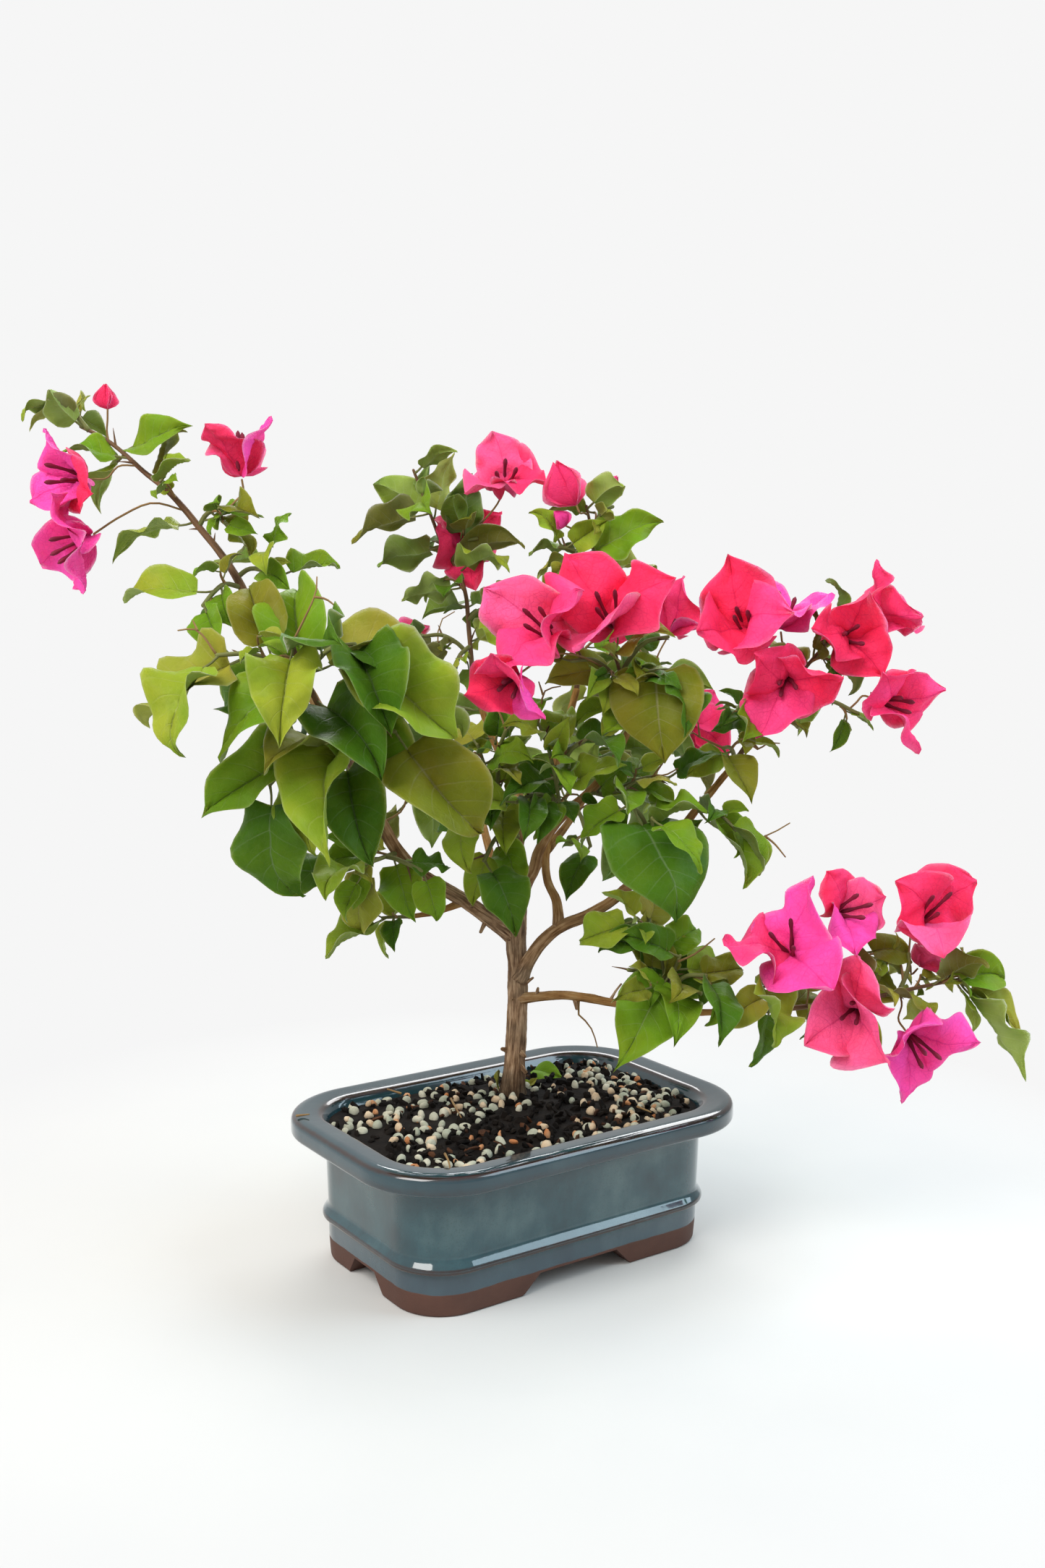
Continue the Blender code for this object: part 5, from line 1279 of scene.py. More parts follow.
def add_bract(bunch, blossom, aim, face, tint, scale, draw):
    """One papery bract, rippled and bent back."""
    shape = Shape(fold=draw.uniform(0.0, 0.30), hollow=draw.uniform(-0.30, 0.22),
                  twist=draw.uniform(-1.0, 1.0), bend=draw.uniform(-0.18, 0.18),
                  ripple=draw.uniform(0.18, 0.46), waves=draw.uniform(0.8, 2.1), veins=0.24, crumple=0.10,
                  hook=draw.uniform(-1.9, 0.2), wide=draw.uniform(1.0, 1.2))
    add_blade(bunch, BRACT_OUTLINE, shape, blossom.centre - blossom.axis * 0.6 * MM, aim, face,
              blossom.size * MM * scale, blossom.curl + draw.uniform(0.2, 0.9), BRACT_ROWS, FINE_COLUMNS,
              (tint, tint + len(BRACT_TINTS)), draw, 0.0, BRACT_THICK)


def add_flower_tube(tubes, blossom, aim, face, draw):
    """The dark tube that stands on a bract's foot and bends out towards its tip."""
    foot = blossom.centre + aim * 1.5 * MM + blossom.axis * 0.8 * MM
    length = blossom.size * MM * draw.uniform(*TUBE_LONG)
    heading = (blossom.axis + aim + face * 0.25).normalized()
    run = [foot + heading * length * share + face * length * 0.12 * share ** 2 for share, _ in TUBE_GIRTH]
    add_tube(tubes, run, [girth * MM for _, girth in TUBE_GIRTH], 9, 0, 0.1, draw.uniform(0, 90))


def add_blossom(bracts, tubes, stalks, blossom, name, draw):
    """Three papery bracts round three dark tubes on a thin stalk, or a closed bud on one."""
    path = smooth_path(blossom.stalk, 12)
    add_tube(stalks, path, [0.5 * MM] * len(path), STALK_SIDES, TWIG_FRESH)
    weights = BLOSSOM_TINTS.get(name, PLAIN_BLOSSOM)
    lean = dealt(draw, weights)
    if blossom.size < 0:
        add_bud(bracts, blossom, lean, draw)
        return
    cupped = name in CUPPED and blossom.axis.z > CUP_STEEP
    if cupped:
        blossom = blossom._replace(opening=[value * CUP_OPEN for value in blossom.opening])
    for _, aim, face, _ in bract_frames(blossom):
        if cupped:
            face = Matrix.Rotation(WRAPPED, 3, aim) @ face
        tint = lean if draw.random() < SAME_TINT else dealt(draw, weights)
        add_bract(bracts, blossom, aim, face, tint, BRACT_SCALES.get(name, BRACT_SCALE), draw)
        add_flower_tube(tubes, blossom, aim, face, draw)


def add_bud(bracts, blossom, tint, draw):
    """A closed bud: three bracts folded round each other into a pointed drop."""
    for k in range(3):
        _, aim, face = opened(blossom, k, BUD_LEAN)
        face = Matrix.Rotation(WRAPPED, 3, aim) @ face
        add_blade(bracts, BRACT_OUTLINE, BUD_SHAPE, blossom.centre, aim, face, -blossom.size * MM * 1.02,
                  BUD_CURL, BUD_ROWS, FINE_COLUMNS, (tint, tint + len(BRACT_TINTS)), draw, BUD_CURL / 2,
                  BRACT_THICK)


def add_thorn(stalks, crowd, name, node, way, long):
    """A thorn, if it has room."""
    thorn = [node, node + way * long * 0.4, node + way * long * 0.7 + DOWN * 0.3 * MM]
    if not crowd.meets(tube(thorn, [0.4 * MM] * 3, TWIG_FACETS), (name,)):
        add_tube(stalks, smooth_path(thorn, len(THORN_GIRTH)), [girth * MM for girth in THORN_GIRTH],
                 STALK_SIDES, TWIG_BROWN)


def grow_fine(name, crowd, stems, twigs, stalks, leaves):
    """Short side twigs with small leaves, and thorns, all along a mass's twigs."""
    draw = random.Random(f"{name} fine")
    turn = draw.uniform(0, 6.28)
    for index, (path, _) in [(index, twig) for index, twig in enumerate(twigs) if twig]:
        count = max(1, round(path_length(path) / MM / FINE_APART))
        for k in range(count):
            share = 0.08 + 0.88 * (k + draw.uniform(0.2, 0.8)) / count
            node, ahead = along(path, share)
            side, other = across_of(ahead)
            turn += GOLDEN
            out = side * math.cos(turn) + other * math.sin(turn)
            long = draw.uniform(*FINE_LONG) * MM
            way = (out + ahead * 0.6 + UPWARD * 0.25 + out_at(node) * 0.3).normalized()
            if draw.random() < THORN_SHARE:
                add_thorn(stalks, crowd, name, node, way, long)
                continue
            twiglet = shoot_path(node, ahead, [node + way * long], 4)
            if crowd.meets(tube(twiglet, [0.5 * MM] * 4, TWIG_FACETS), (name,)):
                continue
            thick, taper = FINE_GIRTH
            add_tube(stalks, smooth_path(twiglet, 7), [(thick - taper * j / 6) * MM for j in range(7)],
                     STALK_SIDES, TWIG_FRESH)
            many = draw.randint(*FINE_LEAVES)
            at = draw.uniform(0, 6.28)
            for j in range(many):
                foot, forward = along(twiglet, 0.35 + 0.64 * j / max(many - 1, 1))
                leaf = put_leaf(foot, forward, at, draw.uniform(*FINE_LEAF), FINE_DROOP, draw, crowd, stems,
                                name, f"{name} {index}")
                at += GOLDEN
                if leaf:
                    leaves.append(leaf)


def dotted(path):
    """Points along a path, 1.5 mm apart."""
    count = max(3, round(path_length(path) / MM / 1.5))
    return [along(path, k / count)[0] for k in range(count + 1)]


def add_twig(stalks, path, radii):
    """A mass's stem or shoot, brown where it is old."""
    fine = stepped(path, TWIG_STEP)
    shares = np.linspace(0, 1, len(radii))
    thick = [float(np.interp(k / (len(fine) - 1), shares, radii)) for k in range(len(fine))]
    kind = TWIG_BROWN if radii[0] > OLD_TWIG * MM else TWIG_GREEN
    add_tube(stalks, fine, thick, TWIG_SIDES, kind, TWIG_RELIEF)


def add_forks(stalks, wood):
    """The bare twigs, each joined to the nearest wood, and the slivers on the soil."""
    for path in FORKS:
        places = [spot(*place) for place in path]
        carrier = min(wood, key=lambda place: (place - places[0]).length)
        if path[0][2] > LOOSE_HIGH and (carrier - places[0]).length > FORK_GAP * MM:
            places.insert(0, carrier)
        run = smooth_path(places, 7)
        wood += dotted(run)
        thick, taper = FORK_GIRTH
        add_tube(stalks, run, [(thick - taper * k) * MM for k in range(7)], STALK_SIDES, TWIG_FRESH)


def add_fallen(bunch):
    """The leaves that lie on the soil."""
    draw = random.Random("fallen")
    for tint, foot, tip, tilt in FALLEN:
        foot, tip = spot(*foot), spot(*tip)
        aim = (tip - foot).normalized()
        side = aim.cross(UPWARD).normalized()
        face = Matrix.Rotation(tilt, 3, aim) @ side.cross(aim)
        add_blade(bunch, LEAF_OUTLINE, FALLEN_SHAPE, foot, aim, face, (tip - foot).length, 0.5, LEAF_ROWS[0],
                  FINE_COLUMNS, (tint, tint + len(LEAF_TINTS)), draw, 0.25)


def grow_plant():
    """Every mass in the source's order, then the finer twigs between them."""
    crowd = Crowd()
    for limb in LIMBS:
        crowd.add(limb_shape(limb, CLEAR), limb)
    stems = {name: stem_path(name) for name in MASSES}
    grown = {name: grow_mass(name, crowd, stems) for name in MASSES}
    stalks, bracts, tubes = Bunch(), Bunch(), Bunch()
    green = {"left": Bunch(), "right": Bunch()}
    wood = [place for limb in LIMBS for place in dotted(limb_path(limb))]
    for name, (twigs, leaves, blossoms) in grown.items():
        draw = random.Random(f"{name} shapes")
        grow_fine(name, crowd, stems, twigs, stalks, leaves)
        for path, radii in filter(None, twigs):
            wood += dotted(path)
            add_twig(stalks, path, radii)
        bunch = green["left" if name in LEFT_MASSES else "right"]
        for order, leaf in enumerate(leaves):
            if leaf:
                add_leaf(bunch, stalks, leaf, name, order, draw)
        for blossom in blossoms:
            add_blossom(bracts, tubes, stalks, blossom, name, draw)
    add_forks(stalks, wood)
    add_fallen(green["right"])
    return stalks, green, bracts, tubes


# The pot's finer cut: steps round each corner and round each edge.
ROUND_STEPS = 18
EDGE_STEPS = 5
DRAIN_SIDES = 40
POT_SHARP = 38
# Where the glaze runs thin over an edge and breaks to brown: inset, height, reach and strength.
THIN_EDGES = [(0.3, POT_HEIGHT - LIP_THICK + 2.2, 1.2, 0.45), (1.2, POT_HEIGHT - 1.2, 1.3, 0.9),
              (LIP_INNER - 1.0, POT_HEIGHT - 1.6, 1.7, 1.0),
              (BODY_INSET - BAND_PROUD + 0.3, BAND_LOW + 1.2, 1.2, 1.0),
              (BODY_INSET - BAND_PROUD + 0.2, BAND_HIGH - 3.4, 0.7, 0.8)]

# The soil's surface: rings from its edge to the trunk, the height of its lumps, and its edge above the mark.
SOIL_RINGS = 26
SOIL_LUMP = 1.1
SOIL_BRIM = 0.6
# The patch that grains lie on: its inset, its height over the mark, and how far it keeps from the trunk.
STREWN_INSET = LIP_INNER + 4.2
STREWN_HIGH = 1.2
TRUNK_ROOM = 8.0
# The grains on the soil: how far apart they lie, the smallest and the largest, the depth of their dents, how
# thinly they lie between clumps, how often each ball is cut, their seed, and their finish with its colour and
# the colour of its patches. The lumps wear the soil's own finish.
Grains = namedtuple("Grains", "name spacing smallest largest dents clumping cuts seed finish")
EARTH = ("dark_soil", (0.011, 0.008, 0.006), (0.004, 0.003, 0.0025))
GRAINS = [
    Grains("soil_lumps", 0.0034, (0.0010, 0.0014, 0.0008), (0.0031, 0.0044, 0.0019), 0.0022, 0.15, 1, 3,
           None),
    Grains("soil_bark", 0.0070, (0.0008, 0.0016, 0.0006), (0.0024, 0.0052, 0.0012), 0.0012, 0.42, 1, 8,
           ("brown_chips", (0.085, 0.036, 0.018), (0.030, 0.015, 0.010))),
    Grains("soil_pumice", 0.0049, (0.0014, 0.0013, 0.0013), (0.0032, 0.0030, 0.0030), 0.0009, 0.385, 3, 5,
           ("pale_pumice", (0.52, 0.49, 0.38), (0.31, 0.33, 0.25))),
    Grains("soil_gravel", 0.0080, (0.0015, 0.0015, 0.0014), (0.0034, 0.0030, 0.0026), 0.0022, 0.44, 2, 17,
           ("cream_gravel", (0.62, 0.50, 0.35), (0.48, 0.34, 0.21))),
    Grains("soil_clay", 0.0105, (0.0011, 0.0014, 0.0009), (0.0022, 0.0030, 0.0018), 0.0016, 0.46, 2, 11,
           ("orange_clay", (0.42, 0.16, 0.06), (0.50, 0.27, 0.14))),
]


def inner_wall():
    """The pot's inner profile from the lip down to the floor: (inset, height)."""
    wall = BODY_INSET + WALL
    return [(LIP_INNER + 1.4, SOIL_EDGE + 3.0), (LIP_INNER + 4.0, SOIL_EDGE - 1.5), (wall - 1.0, 57.0),
            (wall, 46.0), (wall + 0.6, FLOOR_HIGH + 3.0), (wall + 4.0, FLOOR_HIGH)]


def soft_corner(before, corner, after, radius):
    """Points of a rounded corner between two straight runs of a profile."""
    corner = Vector(corner)
    a = Vector(before) - corner
    b = Vector(after) - corner
    cut = min(radius, a.length * 0.48, b.length * 0.48)
    start = corner + a.normalized() * cut
    end = corner + b.normalized() * cut
    shares = [k / EDGE_STEPS for k in range(EDGE_STEPS + 1)]
    return [start * (1 - t) ** 2 + corner * 2 * t * (1 - t) + end * t ** 2 for t in shares]


def soft_ring(inset, high):
    """The pot's outline, finely stepped round its corners, so far in from the lip's edge, at a height."""
    corner = max(RIM_CORNER - inset, 6.0)
    points = []
    for quarter, (sx, sy) in enumerate(((1, 1), (-1, 1), (-1, -1), (1, -1))):
        for step in range(ROUND_STEPS + 1):
            turn = math.radians(90 * (quarter + step / ROUND_STEPS))
            points.append(Vector(((RIM_LENGTH / 2 - inset - corner) * sx + corner * math.cos(turn),
                                  (RIM_WIDTH / 2 - inset - corner) * sy + corner * math.sin(turn),
                                  high)) * MM)
    return points


def pot_profile():
    """The pot's section, its corners rounded, as points of (inset, height)."""
    under = POT_HEIGHT - LIP_THICK
    rows = [(BODY_INSET + FOOT_THICK + 1.5, FOOT_HEIGHT, 1.0), (BODY_INSET + FOOT_THICK, 0.0, 1.0),
            (BODY_INSET + 1.4, 0.0, 1.6), (BODY_INSET + 0.5, FOOT_HEIGHT + 2, 3.0),
            (BODY_INSET + 0.3, BAND_LOW, 1.2), (BODY_INSET - BAND_PROUD, BAND_LOW + 0.6, 2.0),
            (BODY_INSET - BAND_PROUD, BAND_HIGH - 3.4, 1.2), (BODY_INSET + 0.2, BAND_HIGH + 0.3, 1.6),
            (BODY_INSET - 0.8, under - 6.0, 6.0), (BODY_INSET - 4.5, under - 1.0, 4.0),
            (3.0, under - 0.1, 2.0), (0.0, under + 0.8, 2.6), (0.0, POT_HEIGHT - 1.6, 3.4),
            (4.0, POT_HEIGHT, 3.0), (LIP_INNER - 1.0, POT_HEIGHT - 1.0, 2.2)]
    rows += [(inset, high, 1.2) for inset, high in inner_wall()]
    points = [Vector(rows[0][:2])]
    for before, (inset, high, soft), after in zip(rows, rows[1:], rows[2:]):
        points += soft_corner(before[:2], (inset, high), after[:2], soft)
    return [*points, Vector(rows[-1][:2])]


def lofted(name, rings):
    """A closed mesh through rings of one count."""
    points = [point for ring in rings for point in ring]
    return plain_mesh(name, points, ring_faces(len(rings[0]), len(rings)))


def prism(outline, axis, reach):
    """A prism of a four-cornered outline (sideways, high), run both ways along X or Y."""
    points = []
    for way in (-reach, reach):
        for sideways, high in outline:
            points.append(Vector((way, sideways, high) if axis == "X" else (sideways, -way, high)) * MM)
    return points, [(3, 2, 1, 0), (4, 5, 6, 7), *[(j, (j + 1) % 4, 4 + (j + 1) % 4, 4 + j) for j in range(4)]]


def foot_gap(low_half, high_half):
    """The outline of a gap between two feet, wider at the table than at its top."""
    slope = (low_half - high_half) / GAP_HIGH
    below = [(-low_half - slope, -1.0), (low_half + slope, -1.0)]
    return [*below, (high_half, GAP_HIGH), (-high_half, GAP_HIGH)]


def lip_inset(x, y):
    """How far in from the lip's edge a place is, in millimetres."""
    dx = abs(x) / MM - (RIM_LENGTH / 2 - RIM_CORNER)
    dy = abs(y) / MM - (RIM_WIDTH / 2 - RIM_CORNER)
    return RIM_CORNER - (math.hypot(max(dx, 0), max(dy, 0)) + min(max(dx, dy), 0))


def evaluated(thing):
    """A plain mesh of an object as its modifiers leave it."""
    bpy.context.view_layer.update()
    return bpy.data.meshes.new_from_object(thing.evaluated_get(bpy.context.evaluated_depsgraph_get()))


def thinned(co):
    """How far the glaze has run thin at a place on the pot."""
    inset = lip_inset(co.x, co.y)
    return max(strength * math.exp(-((inset - i) ** 2 + (co.z / MM - h) ** 2) / reach ** 2)
               for i, h, reach, strength in THIN_EDGES)


def make_pot(glaze):
    """The pot: soft lip, cove and raised band over four clay feet, with its gaps and drain holes cut."""
    pot = linked("glazed_pot", lofted("glazed_pot", [soft_ring(*point) for point in pot_profile()]))
    shapes = [prism(foot_gap(*GAP_LONG), "Y", RIM_WIDTH), prism(foot_gap(*GAP_SHORT), "X", RIM_LENGTH)]
    for way in (-1, 1):
        path = [Vector((way * DRAIN_APART, 0, high)) * MM for high in (FOOT_HEIGHT - 4, FLOOR_HIGH + 4)]
        shapes.append(tube(path, [DRAIN_RADIUS * MM] * 2, DRAIN_SIDES)[:2])
    cutters = [linked("cutter", plain_mesh("cutter", *shape)) for shape in shapes]
    for cutter in cutters:
        cut = pot.modifiers.new("cut", "BOOLEAN")
        cut.operation = "DIFFERENCE"
        cut.solver = "EXACT"
        cut.object = cutter
    mesh = evaluated(pot)
    for thing in (pot, *cutters):
        bpy.data.objects.remove(thing, do_unlink=True)
    thin = mesh.attributes.new("thin", "FLOAT", "POINT")
    thin.data.foreach_set("value", [thinned(vert.co) for vert in mesh.vertices])
    return finished("pot_glazed", mesh, [glaze], POT_SHARP)


def mound(share):
    """How far the soil has risen at a share of the way from its edge to the trunk, in millimetres."""
    return (SOIL_TOP - SOIL_EDGE) * math.sin(share * math.pi / 2)


def make_soil(earth):
    """The bed of dark soil, lumpy, mounded to the trunk, and filling the pot."""
    rings = []
    for inset, high in reversed(inner_wall()[1:]):
        rings.append(soft_ring(inset + CLEAR / MM, max(high, FLOOR_HIGH + CLEAR / MM)))
    edge = soft_ring(LIP_INNER + 1.2 + CLEAR / MM, SOIL_EDGE + SOIL_BRIM)
    rings.append(edge)
    centre = Vector((FOOT.x, FOOT.y, 0))
    for k in range(1, SOIL_RINGS + 1):
        share = k / SOIL_RINGS
        ring = []
        for point in edge:
            place = Vector((point.x, point.y, 0)).lerp(centre, share * 0.985)
            lump = noise.fractal(place * 160, 0.8, 2.0, 4) * SOIL_LUMP * min(share * 6, 1.0)
            place.z = (SOIL_EDGE + SOIL_BRIM + mound(share) + lump) * MM
            ring.append(place)
        rings.append(ring)
    return finished("soil_bed", lofted("soil_bed", rings), [earth])


def soil_top():
    """The flat patch of soil that grains lie on, clear of the trunk and of the pot's wall."""
    outer = soft_ring(STREWN_INSET, SOIL_EDGE)
    points = []
    for share in (0.0, 0.3, 0.6, 1.0):
        for point in outer:
            out = Vector((point.x - FOOT.x, point.y - FOOT.y, 0))
            near = Vector((FOOT.x, FOOT.y, 0)) + out.normalized() * TRUNK_ROOM * MM
            place = Vector((point.x, point.y, 0)).lerp(near, share)
            place.z = (SOIL_EDGE + STREWN_HIGH + mound(share)) * MM
            points.append(place)
    return plain_mesh("soil_top", points, ring_faces(len(outer), 4)[1:-1])


# What the grains' tree asks for: each input and the kind of its socket.
GRAIN_INPUTS = {"Surface": "Geometry", "Spacing": "Float", "Smallest": "Vector", "Largest": "Vector",
                "Dents": "Float", "Clumping": "Float", "Cuts": "Int", "Rounded": "Bool", "Seed": "Int",
                "Finish": "Material"}
GRAIN_SIZES = ("Spacing", "Smallest", "Largest", "Dents", "Clumping", "Cuts", "Seed")
# The most grains that may lie on a square metre, and the angle from which an angular grain's edge is sharp.
GRAINS_MOST = 90000.0
GRAIN_SHARP = 20
WHOLE_TURN = (6.283, 6.283, 6.283)


class Value:
    """A socket in a tree of nodes: the usual signs on it add the Math nodes."""

    def __init__(self, nodes, socket):
        self.nodes = nodes
        self.socket = socket

    def __add__(self, other):
        return self.nodes.maths("ADD", self, other)

    def __radd__(self, other):
        return self.nodes.maths("ADD", other, self)

    def __sub__(self, other):
        return self.nodes.maths("SUBTRACT", self, other)

    def __rsub__(self, other):
        return self.nodes.maths("SUBTRACT", other, self)

    def __mul__(self, other):
        return self.nodes.maths("MULTIPLY", self, other)

    def __rmul__(self, other):
        return self.nodes.maths("MULTIPLY", other, self)

    def __abs__(self):
        return self.nodes.maths("ABSOLUTE", self, 0.0)

    def fraction(self):
        return self.nodes.maths("FRACT", self, 0.0)

    def kept(self):
        """The value held between nought and one."""
        return self.nodes.add("ShaderNodeMath", {"operation": "ADD", "use_clamp": True}, {0: self, 1: 0.0})


class Nodes:
    """A tree of nodes, and the sums between its sockets."""

    def __init__(self, tree):
        self.tree = tree

    def put(self, socket, value):
        """Link a value to a socket, or set it there."""
        if isinstance(value, Value):
            self.tree.links.new(value.socket, socket)
        elif isinstance(value, tuple) and len(value) == 3 and socket.type == "RGBA":
            socket.default_value = (*value, 1.0)
        else:
            socket.default_value = value

    def add(self, kind, settings=None, links=None, output=0):
        """A new node with its settings and its inputs, as the value of one of its outputs."""
        node = self.tree.nodes.new(kind)
        for key, value in (settings or {}).items():
            setattr(node, key, value)
        for key, value in (links or {}).items():
            self.put(node.inputs[key], value)
        return Value(self, node.outputs[output])

    def maths(self, operation, first, second):
        return self.add("ShaderNodeMath", {"operation": operation}, {0: first, 1: second})


class Finish(Nodes):
    """One material: its nodes, and the skin that they color."""

    def __init__(self, name, **fixed):
        self.material = bpy.data.materials.new(name)
        self.material.use_nodes = True
        super().__init__(self.material.node_tree)
        self.skin = self.tree.nodes["Principled BSDF"]
        self.wear(**fixed)

    def wear(self, **sockets):
        """Set or link the skin's own sockets."""
        for key, value in sockets.items():
            self.put(self.skin.inputs[key.replace("_", " ")], value)
        return self.material

    def stretched(self, vector, scale):
        return self.add("ShaderNodeMapping", {}, {"Vector": vector, "Scale": scale})

    def place(self, scale=(1, 1, 1)):
        """A place on the object."""
        return self.stretched(self.add("ShaderNodeTexCoord", output="Object"), scale)

    def read(self, name, output="Fac"):
        """A value that the mesh carries under a name."""
        return self.add("ShaderNodeAttribute", {"attribute_name": name}, output=output)

    def noise(self, place, scale, detail=3.0, rough=0.5):
        return self.add("ShaderNodeTexNoise", {}, {"Vector": place, "Scale": scale, "Detail": detail,
                                                   "Roughness": rough})

    def blend(self, share, first, second):
        return self.add("ShaderNodeMix", {"data_type": "RGBA"}, {0: share, 6: first, 7: second}, output=2)

    def ramp(self, share, *stops):
        """The color at a share of the way through stops of (place, color)."""
        made = self.add("ShaderNodeValToRGB", {}, {0: share})
        elements = made.socket.node.color_ramp.elements
        for element, (place, color) in zip(elements, (stops[0], stops[-1])):
            element.position = place
            element.color = (*color, 1.0)
        for place, color in stops[1:-1]:
            elements.new(place).color = (*color, 1.0)
        return made

    def part(self, vector, axis):
        return self.add("ShaderNodeSeparateXYZ", {}, {0: vector}, output="XYZ".index(axis))

    def bump(self, height, strength, distance):
        return self.add("ShaderNodeBump", {}, {"Height": height, "Strength": strength, "Distance": distance})


def grain_tree():
    """Grains strewn on a surface: spaced apart, turned, sized and dented at random, and clumped."""
    group = bpy.data.node_groups.new("strewn_grains", "GeometryNodeTree")
    keys = {}
    for name, kind in GRAIN_INPUTS.items():
        socket = group.interface.new_socket(name, in_out="INPUT", socket_type=f"NodeSocket{kind}")
        keys[name] = socket.identifier
    group.interface.new_socket("Grains", in_out="OUTPUT", socket_type="NodeSocketGeometry")
    tree = Nodes(group)
    given = {entry.name: Value(tree, entry) for entry in group.nodes.new("NodeGroupInput").outputs}
    clump = tree.add("ShaderNodeTexNoise", {"noise_dimensions": "4D"}, {"Scale": 55.0, "W": given["Seed"]})
    share = tree.add("ShaderNodeMapRange", {}, {0: clump, 1: given["Clumping"], 2: 0.62})
    points = tree.add("GeometryNodeDistributePointsOnFaces", {"distribute_method": "POISSON"},
                      {"Mesh": given["Surface"], "Distance Min": given["Spacing"],
                       "Density Max": GRAINS_MOST, "Density Factor": share, "Seed": given["Seed"]})
    ball = tree.add("GeometryNodeMeshIcoSphere", {}, {"Radius": 1.0, "Subdivisions": given["Cuts"]})
    turn = tree.add("FunctionNodeRandomValue", {"data_type": "FLOAT_VECTOR"},
                    {0: (0, 0, 0), 1: WHOLE_TURN, "Seed": given["Seed"]})
    size = tree.add("FunctionNodeRandomValue", {"data_type": "FLOAT_VECTOR"},
                    {0: given["Smallest"], 1: given["Largest"], "Seed": given["Seed"]})
    grains = tree.add("GeometryNodeInstanceOnPoints", {},
                      {"Points": points, "Instance": ball, "Rotation": turn, "Scale": size})
    real = tree.add("GeometryNodeRealizeInstances", {}, {0: grains})
    dent = tree.add("ShaderNodeTexNoise", {}, {"Scale": 330.0, "Detail": 2.0}, output="Color")
    centred = tree.add("ShaderNodeVectorMath", {"operation": "SUBTRACT"}, {0: dent, 1: (0.5, 0.5, 0.5)})
    push = tree.add("ShaderNodeVectorMath", {"operation": "SCALE"}, {0: centred, "Scale": given["Dents"]})
    moved = tree.add("GeometryNodeSetPosition", {}, {"Geometry": real, "Offset": push})
    smooth = tree.add("GeometryNodeSetShadeSmooth", {}, {0: moved, "Shade Smooth": given["Rounded"]})
    done = tree.add("GeometryNodeSetMaterial", {}, {0: smooth, "Material": given["Finish"]})
    tree.put(group.nodes.new("NodeGroupOutput").inputs[0], done)
    return group, keys


def strewn(group, keys, surface, grains, finish):
    """One piece of grains on a surface, made a plain mesh: balls cut more than once are rounded."""
    rounded = grains.cuts > 1
    holder = linked(grains.name, surface)
    grow = holder.modifiers.new("grains", "NODES")
    grow.node_group = group
    for name in GRAIN_SIZES:
        grow[keys[name]] = getattr(grains, name.lower())
    grow[keys["Rounded"]] = rounded
    grow[keys["Finish"]] = finish
    mesh = evaluated(holder)
    bpy.data.objects.remove(holder, do_unlink=True)
    mesh.materials.clear()
    return finished(grains.name, mesh, [finish], None if rounded else GRAIN_SHARP)


def dimmed(color, share):
    return tuple(channel * share for channel in color)


def pale(color, share):
    return tuple(channel + (1 - channel) * share for channel in color)


def glaze_finish():
    """Slate green glaze, glossy, mottled, brown where it thins over edges, drawn darker from 50 mm up as
    painted shade and dark reflection under and on the lip, over bare brown clay feet.
    """
    skin = Finish("slate_glaze_over_clay", IOR=1.5, Coat_Roughness=0.05)
    place = skin.place()
    high = skin.part(place, "Z")
    cloud = skin.noise(place, 34.0, 4.0)
    fleck = skin.noise(place, 1400.0, 2.0)
    streak = skin.noise(skin.place((1, 1, 0.3)), 60.0, 4.0, 0.65)
    tone = skin.ramp(cloud * 0.75 + streak * 0.25, (0.34, (0.005, 0.028, 0.038)),
                     (0.50, (0.018, 0.064, 0.077)), (0.66, (0.067, 0.126, 0.131)))
    tone = skin.blend(((fleck - 0.54) * 6.0).kept() * 0.4, tone, (0.012, 0.034, 0.042))
    # Painted shade and painted dark reflection: the glaze is drawn darker from 50 mm up, under the lip, on it
    # and on its inner wall.
    tone = skin.blend(((high - 0.050) * 110.0).kept() * 0.75, tone, (0.012, 0.034, 0.046))
    tone = skin.blend(((0.0205 - high) * 300.0).kept() * 0.5, tone, (0.055, 0.075, 0.100))
    thin = (skin.read("thin") * 1.5 * (0.55 + skin.noise(place, 260.0, 3.0) * 0.9) - 0.25).kept()
    tone = skin.blend(thin, tone, (0.022, 0.010, 0.008))
    clay = ((0.0108 - high + (skin.noise(place, 90.0, 2.0) - 0.5) * 0.0012) * 2500.0).kept()
    grit = skin.noise(place, 1500.0, 2.0)
    earth = skin.blend(skin.noise(place, 70.0, 3.0), (0.052, 0.019, 0.011), (0.110, 0.043, 0.026))
    return skin.wear(Base_Color=skin.blend(clay, tone, earth), Roughness=0.09 + clay * 0.6 + thin * 0.08,
                     Coat_Weight=(1.0 - clay) * 0.55,
                     Normal=skin.bump(skin.noise(place, 240.0, 2.0) * 0.4 + grit * clay * 0.8, 0.25, 0.0006))


